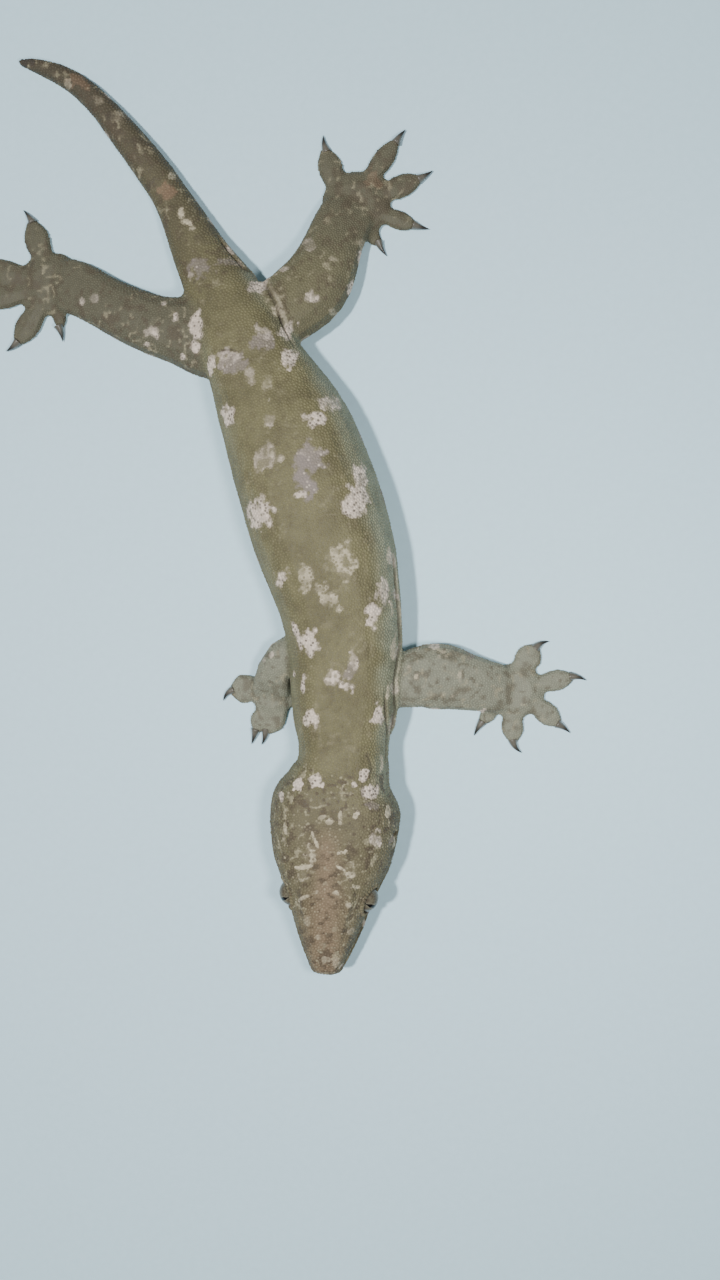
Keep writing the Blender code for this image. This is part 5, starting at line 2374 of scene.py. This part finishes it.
@dataclass
class Studio:
    """Plain pale floor, soft light from above and the animal's right, and the photo's camera."""

    photo: Photo
    floor_size: float = 3.0
    floor_drop: float = 0.05 * MM
    key_place: Triple = (-0.40, -0.02, 1.25)
    key_size: float = 0.10
    key_power: float = 17.5
    fill_place: Triple = (0.11, -0.05, 0.31)
    fill_size: float = 0.06
    fill_power: float = 0.62
    sky: Triple = (0.82, 0.90, 0.97)
    sky_strength: float = 0.20

    def build(self) -> None:
        """Set the floor, lights and camera."""
        self.lay_floor()
        self.hang("key", self.key_place, self.key_size, self.key_power)
        self.hang("fill", self.fill_place, self.fill_size, self.fill_power)
        self.open_sky()
        bpy.context.scene.camera = self.photo.camera()

    def lay_floor(self) -> None:
        """A wide board just under the animal."""
        half = self.floor_size / 2
        corners = [(-half, -half), (half, -half), (half, half), (-half, half)]
        places = np.array([(x, y, -self.floor_drop) for x, y in corners])
        floor = place_piece("floor", mesh_of("floor", places, [np.array([[0, 1, 2, 3]])]))
        floor.data.materials.append(FloorFinish().material())

    def hang(self, name: str, place: Triple, size: float, power: float) -> None:
        """A round light that faces the animal.

        Args:
            name: The light's name.
            place: Where it hangs.
            size: Its width.
            power: Its power in watts.
        """
        lamp = bpy.data.lights.new(name, "AREA")
        lamp.shape = "DISK"
        lamp.size = size
        lamp.energy = power
        item = bpy.data.objects.new(name, lamp)
        item.location = place
        item.rotation_euler = (-Vector(place)).to_track_quat("-Z", "Y").to_euler()
        item.visible_camera = False
        bpy.context.scene.collection.objects.link(item)

    def open_sky(self) -> None:
        """Even light from all round."""
        world = bpy.data.worlds.new("sky")
        world.use_nodes = True
        back = world.node_tree.nodes["Background"]
        back.inputs["Color"].default_value = (*self.sky, 1.0)
        back.inputs["Strength"].default_value = self.sky_strength
        bpy.context.scene.world = world


# Folds of loose skin, by the pixels that they run through
FOLDS = (
    Fold(
        ((392, 547), (398, 620), (399.5, 645), (394, 681), (394.5, 709), (389, 744), (386, 772)),
        depth=1.0 * MM, lip=0.55 * MM, wide=0.60 * MM, light=0.85,
    ),
    Fold(((384, 688), (387, 730), (385, 770)), depth=0.7 * MM, lip=0.3 * MM, wide=0.45 * MM),
    Fold(
        ((213, 230), (230, 253), (243, 268), (263, 280), (277, 307), (284, 328), (298, 353)),
        depth=0.9 * MM, lip=0.45 * MM, wide=0.50 * MM, light=0.5,
    ),
    Fold(((217, 351), (228, 349), (242, 352)), depth=0.4 * MM, lip=0.1 * MM, wide=0.40 * MM),
    Fold(((366, 752), (372, 768), (369, 778)), depth=0.25 * MM, lip=0.1 * MM, wide=0.40 * MM),
)

# Markings that the photo shows, by kind: the pixel of the middle, width and height in pixels, then the
# strength (1 where it is left out), the turn in degrees and the lace (0 where they are left out)
SEEN = {
    Mark.PINK: (
        (227, 416, 16, 23, 1, 0, 0.2), (271, 421, 11, 14, 0.6, 0, 0.7), (319, 418, 18, 16),
        (305, 417, 8, 8, 0.7, 0, 0.5), (333, 403, 17, 19, 0.75, 0, 0.75),
        (267, 457, 32, 28, 0.45, 0, 0.75), (312, 450, 22, 12, 0.4, 0, 0.9),
        (301, 494, 14, 8, 0.85, 15, 0.3), (362, 478, 15, 30, 1, 8, 0.35), (356, 503, 25, 36, 1, 0, 0.2),
        (257, 515, 27, 28, 1, 0, 0.15), (281, 578, 12, 22, 1, -20, 0.3),
        (383, 591, 13, 26, 1, -8, 0.45), (372, 614, 15, 27, 1, 0, 0.1), (296, 630, 14, 13, 1, -30),
        (308, 641, 23, 21, 1, -35, 0.15), (303, 685, 7, 17), (294, 674, 4, 6),
        (333, 677, 16, 18, 1, 0, 0.65), (347, 686, 18, 14, 1, 0, 0.5), (355, 661, 9, 24, 1, 10, 0.6),
        (312, 720, 18, 19, 1, 0, 0.1), (378, 714, 14, 24, 1, 0, 0.1), (363, 776, 10, 14),
        (316, 782, 14, 17, 1, 0, 0.4), (298, 786, 10, 14), (281, 796, 6, 8, 0.8), (354, 784, 6, 7, 0.8),
        (372, 791, 17, 17), (376, 840, 13, 16, 0.85, 0, 0.6), (364, 922, 5, 6, 0.5),
        (230, 250, 10, 8, 0.7, 0, 0.3), (192, 275, 12, 6, 0.6, 0, 0.4), (256, 287, 19, 16, 1, 0, 0.2),
        (285, 268, 11, 7, 0.5, 0, 0.5), (313, 298, 18, 15, 0.9, 0, 0.5),
        (309, 244, 11, 15, 0.3, 0, 0.6), (198, 325, 14, 26, 1, 0, 0.2), (195, 346, 10, 11),
        (210, 366, 7, 16, 0.9), (230, 358, 26, 20, 0.5, 0, 0.9), (250, 376, 10, 18, 0.4, 25, 0.7),
        (261, 332, 26, 12, 0.6, 0, 0.7), (290, 357, 15, 26, 1, 0, 0.15),
        (152, 332, 18, 10, 0.9, 0, 0.5), (147, 344, 7, 5, 0.6), (175, 318, 6, 8, 0.9),
        (164, 303, 6, 5, 0.8), (183, 356, 5, 5, 0.9), (94, 298, 11, 7, 0.5, 0, 0.6),
        (82, 302, 5, 6, 0.6), (271, 655, 5, 7, 0.6), (264, 660, 4, 5, 0.4),
    ),
    Mark.CREAM: (
        (267, 384, 10, 14, 0.45, 0, 0.6), (269, 400, 4, 6, 0.5), (272, 455, 4, 9, 0.6),
        (281, 459, 8, 6, 0.6), (305, 578, 15, 28, 0.8, 0, 0.45), (343, 561, 31, 38, 0.85, 0, 0.85),
        (338, 551, 13, 12, 0.6, 0, 0.4), (322, 588, 17, 15, 0.85, 0, 0.6),
        (331, 600, 25, 15, 0.95, -40, 0.45), (329, 821, 8, 7, 0.9, 0, 0.3),
        (323, 817, 8, 5, 0.5, 0, 0.5), (340, 818, 4, 14, 0.7), (356, 815, 13, 6, 1, 35),
        (388, 812, 6, 12, 0.9), (286, 829, 7, 14, 0.8, 15), (284, 839, 4, 8, 0.4),
        (315, 840, 4, 19, 0.9, 20), (310, 852, 14, 20, 0.85, 0, 0.85), (304, 867, 18, 4, 0.85, 12),
        (303, 877, 12, 11, 0.65, 0, 0.9), (343, 852, 12, 4, 0.95, 15), (342, 869, 11, 4, 0.95, -30),
        (350, 865, 10, 8, 0.7, 0, 0.8), (351, 875, 15, 8, 0.9, -15, 0.5), (355, 887, 9, 5, 1, -8),
        (300, 899, 6, 4, 0.7, 30), (336, 893, 6, 6, 0.8, 0, 0.3), (316, 892, 4, 5, 0.55),
        (347, 905, 5, 6, 0.7), (307, 921, 6, 14, 0.35, 0, 0.6), (317, 937, 6, 6, 0.5),
        (352, 930, 10, 14, 0.4, 0, 0.8), (326, 960, 12, 8, 0.4), (336, 963, 9, 18, 0.45),
        (394, 843, 5, 14, 0.9, -12), (391, 864, 5, 20, 1, -30), (383, 882, 3, 12, 0.8, -20),
        # These six cream streaks beside the flank's fold are painted highlight along its lip
        (382, 764, 5, 18, 1, -12), (388, 694, 4, 20, 0.9), (394, 646, 6, 28, 1, -8),
        (389, 557, 5, 16, 1, 10), (390, 730, 4, 26, 0.6), (392, 609, 4, 16, 0.6),
        (68, 83, 6, 9, 0.5, 0, 0.4), (117, 116, 13, 12, 0.35, 0, 0.6), (98, 100, 9, 9, 0.25, 0, 0.6),
        (173, 175, 5, 9, 0.6, 20), (181, 213, 5, 14, 0.9, 12), (187, 222, 16, 5, 0.9, -20),
        (193, 228, 8, 5, 0.7, 25), (209, 212, 4, 11, 0.7, 25), (333, 259, 8, 6, 0.4),
        # The streak at 279, 309 is painted highlight along the thigh fold's lip
        (279, 309, 5, 16, 0.7, 25), (334, 313, 10, 5, 0.5), (362, 245, 6, 11, 0.4),
        (416, 678, 4, 6, 0.8), (409, 667, 4, 4, 0.5), (424, 686, 4, 3, 0.6), (438, 649, 3, 4, 0.6),
        (443, 652, 4, 3, 0.6), (439, 657, 3, 4, 0.5), (446, 657, 3, 4, 0.5), (460, 679, 4, 12, 0.5, 10),
        (452, 696, 8, 4, 0.45, -40), (413, 707, 6, 8, 0.45),
    ),
    Mark.MAUVE: (
        (311, 459, 28, 33, 1, 0, 0.15), (306, 481, 22, 30, 1, 0, 0.1), (351, 673, 16, 20, 0.7, 0, 0.3),
        (374, 806, 16, 10, 0.5), (200, 269, 26, 20, 0.8, 0, 0.3), (233, 262, 24, 9, 0.6, -10, 0.4),
        (233, 362, 28, 24, 0.85, 0, 0.2), (261, 339, 24, 24, 0.8, 0, 0.2),
    ),
    Mark.DARK: (
        (309, 785, 5, 14, 0.35), (367, 755, 9, 7, 0.4), (362, 789, 4, 17, 0.45),
        (338, 827, 38, 7, 0.22), (349, 857, 7, 9, 0.5), (24, 62, 16, 14, 0.85),
        (109, 116, 10, 10, 0.35), (138, 142, 14, 12, 0.25), (149, 185, 11, 9, 0.45, 20),
        (218, 232, 9, 24, 0.3, 30), (211, 272, 3, 16, 0.4, 25),
    ),
    Mark.RUST: (
        (80, 80, 24, 14, 0.3, -35), (166, 190, 22, 16, 0.45, -20), (374, 180, 14, 18, 0.25),
    ),
}
BLOTCHES = tuple(Blotch(*row[:4], mark, *row[4:]) for mark, rows in SEEN.items() for row in rows)


def main() -> None:
    """Build and dress every piece in order."""
    logging.basicConfig(level=logging.INFO, format="%(name)s: %(message)s")
    photo = Photo()
    Studio(photo).build()
    flesh = tuple(n for n in sorted(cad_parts) if not n.endswith(("_claw", "_eye")))
    hide = Hide(flesh)
    hide.build()
    plan = HeadPlan()
    carver = FaceCarver(plan)
    carver.carve(hide)
    hide.grow_tree()
    LooseSkin(photo, FOLDS).drape(hide)
    hide.grow_tree()
    hide.unwrap()
    Ground(Girth(), plan).paint(hide)
    Mottle().paint(hide)
    Markings(photo, BLOTCHES).paint(hide)
    skin = SkinFinish().material()
    hide.wear(skin)
    Coat(hide, skin).build()
    FacePlates(hide, carver, skin).build()
    wet = EyeFinish().material()
    for side in ("left", "right"):
        Eye(plan, side).build(wet)
    horn = HornFinish().material()
    toes = ClawSet().build(horn)
    Pads(hide, skin).build(toes)
    log.info("model: every piece is in place")


if __name__ == "__main__":
    main()
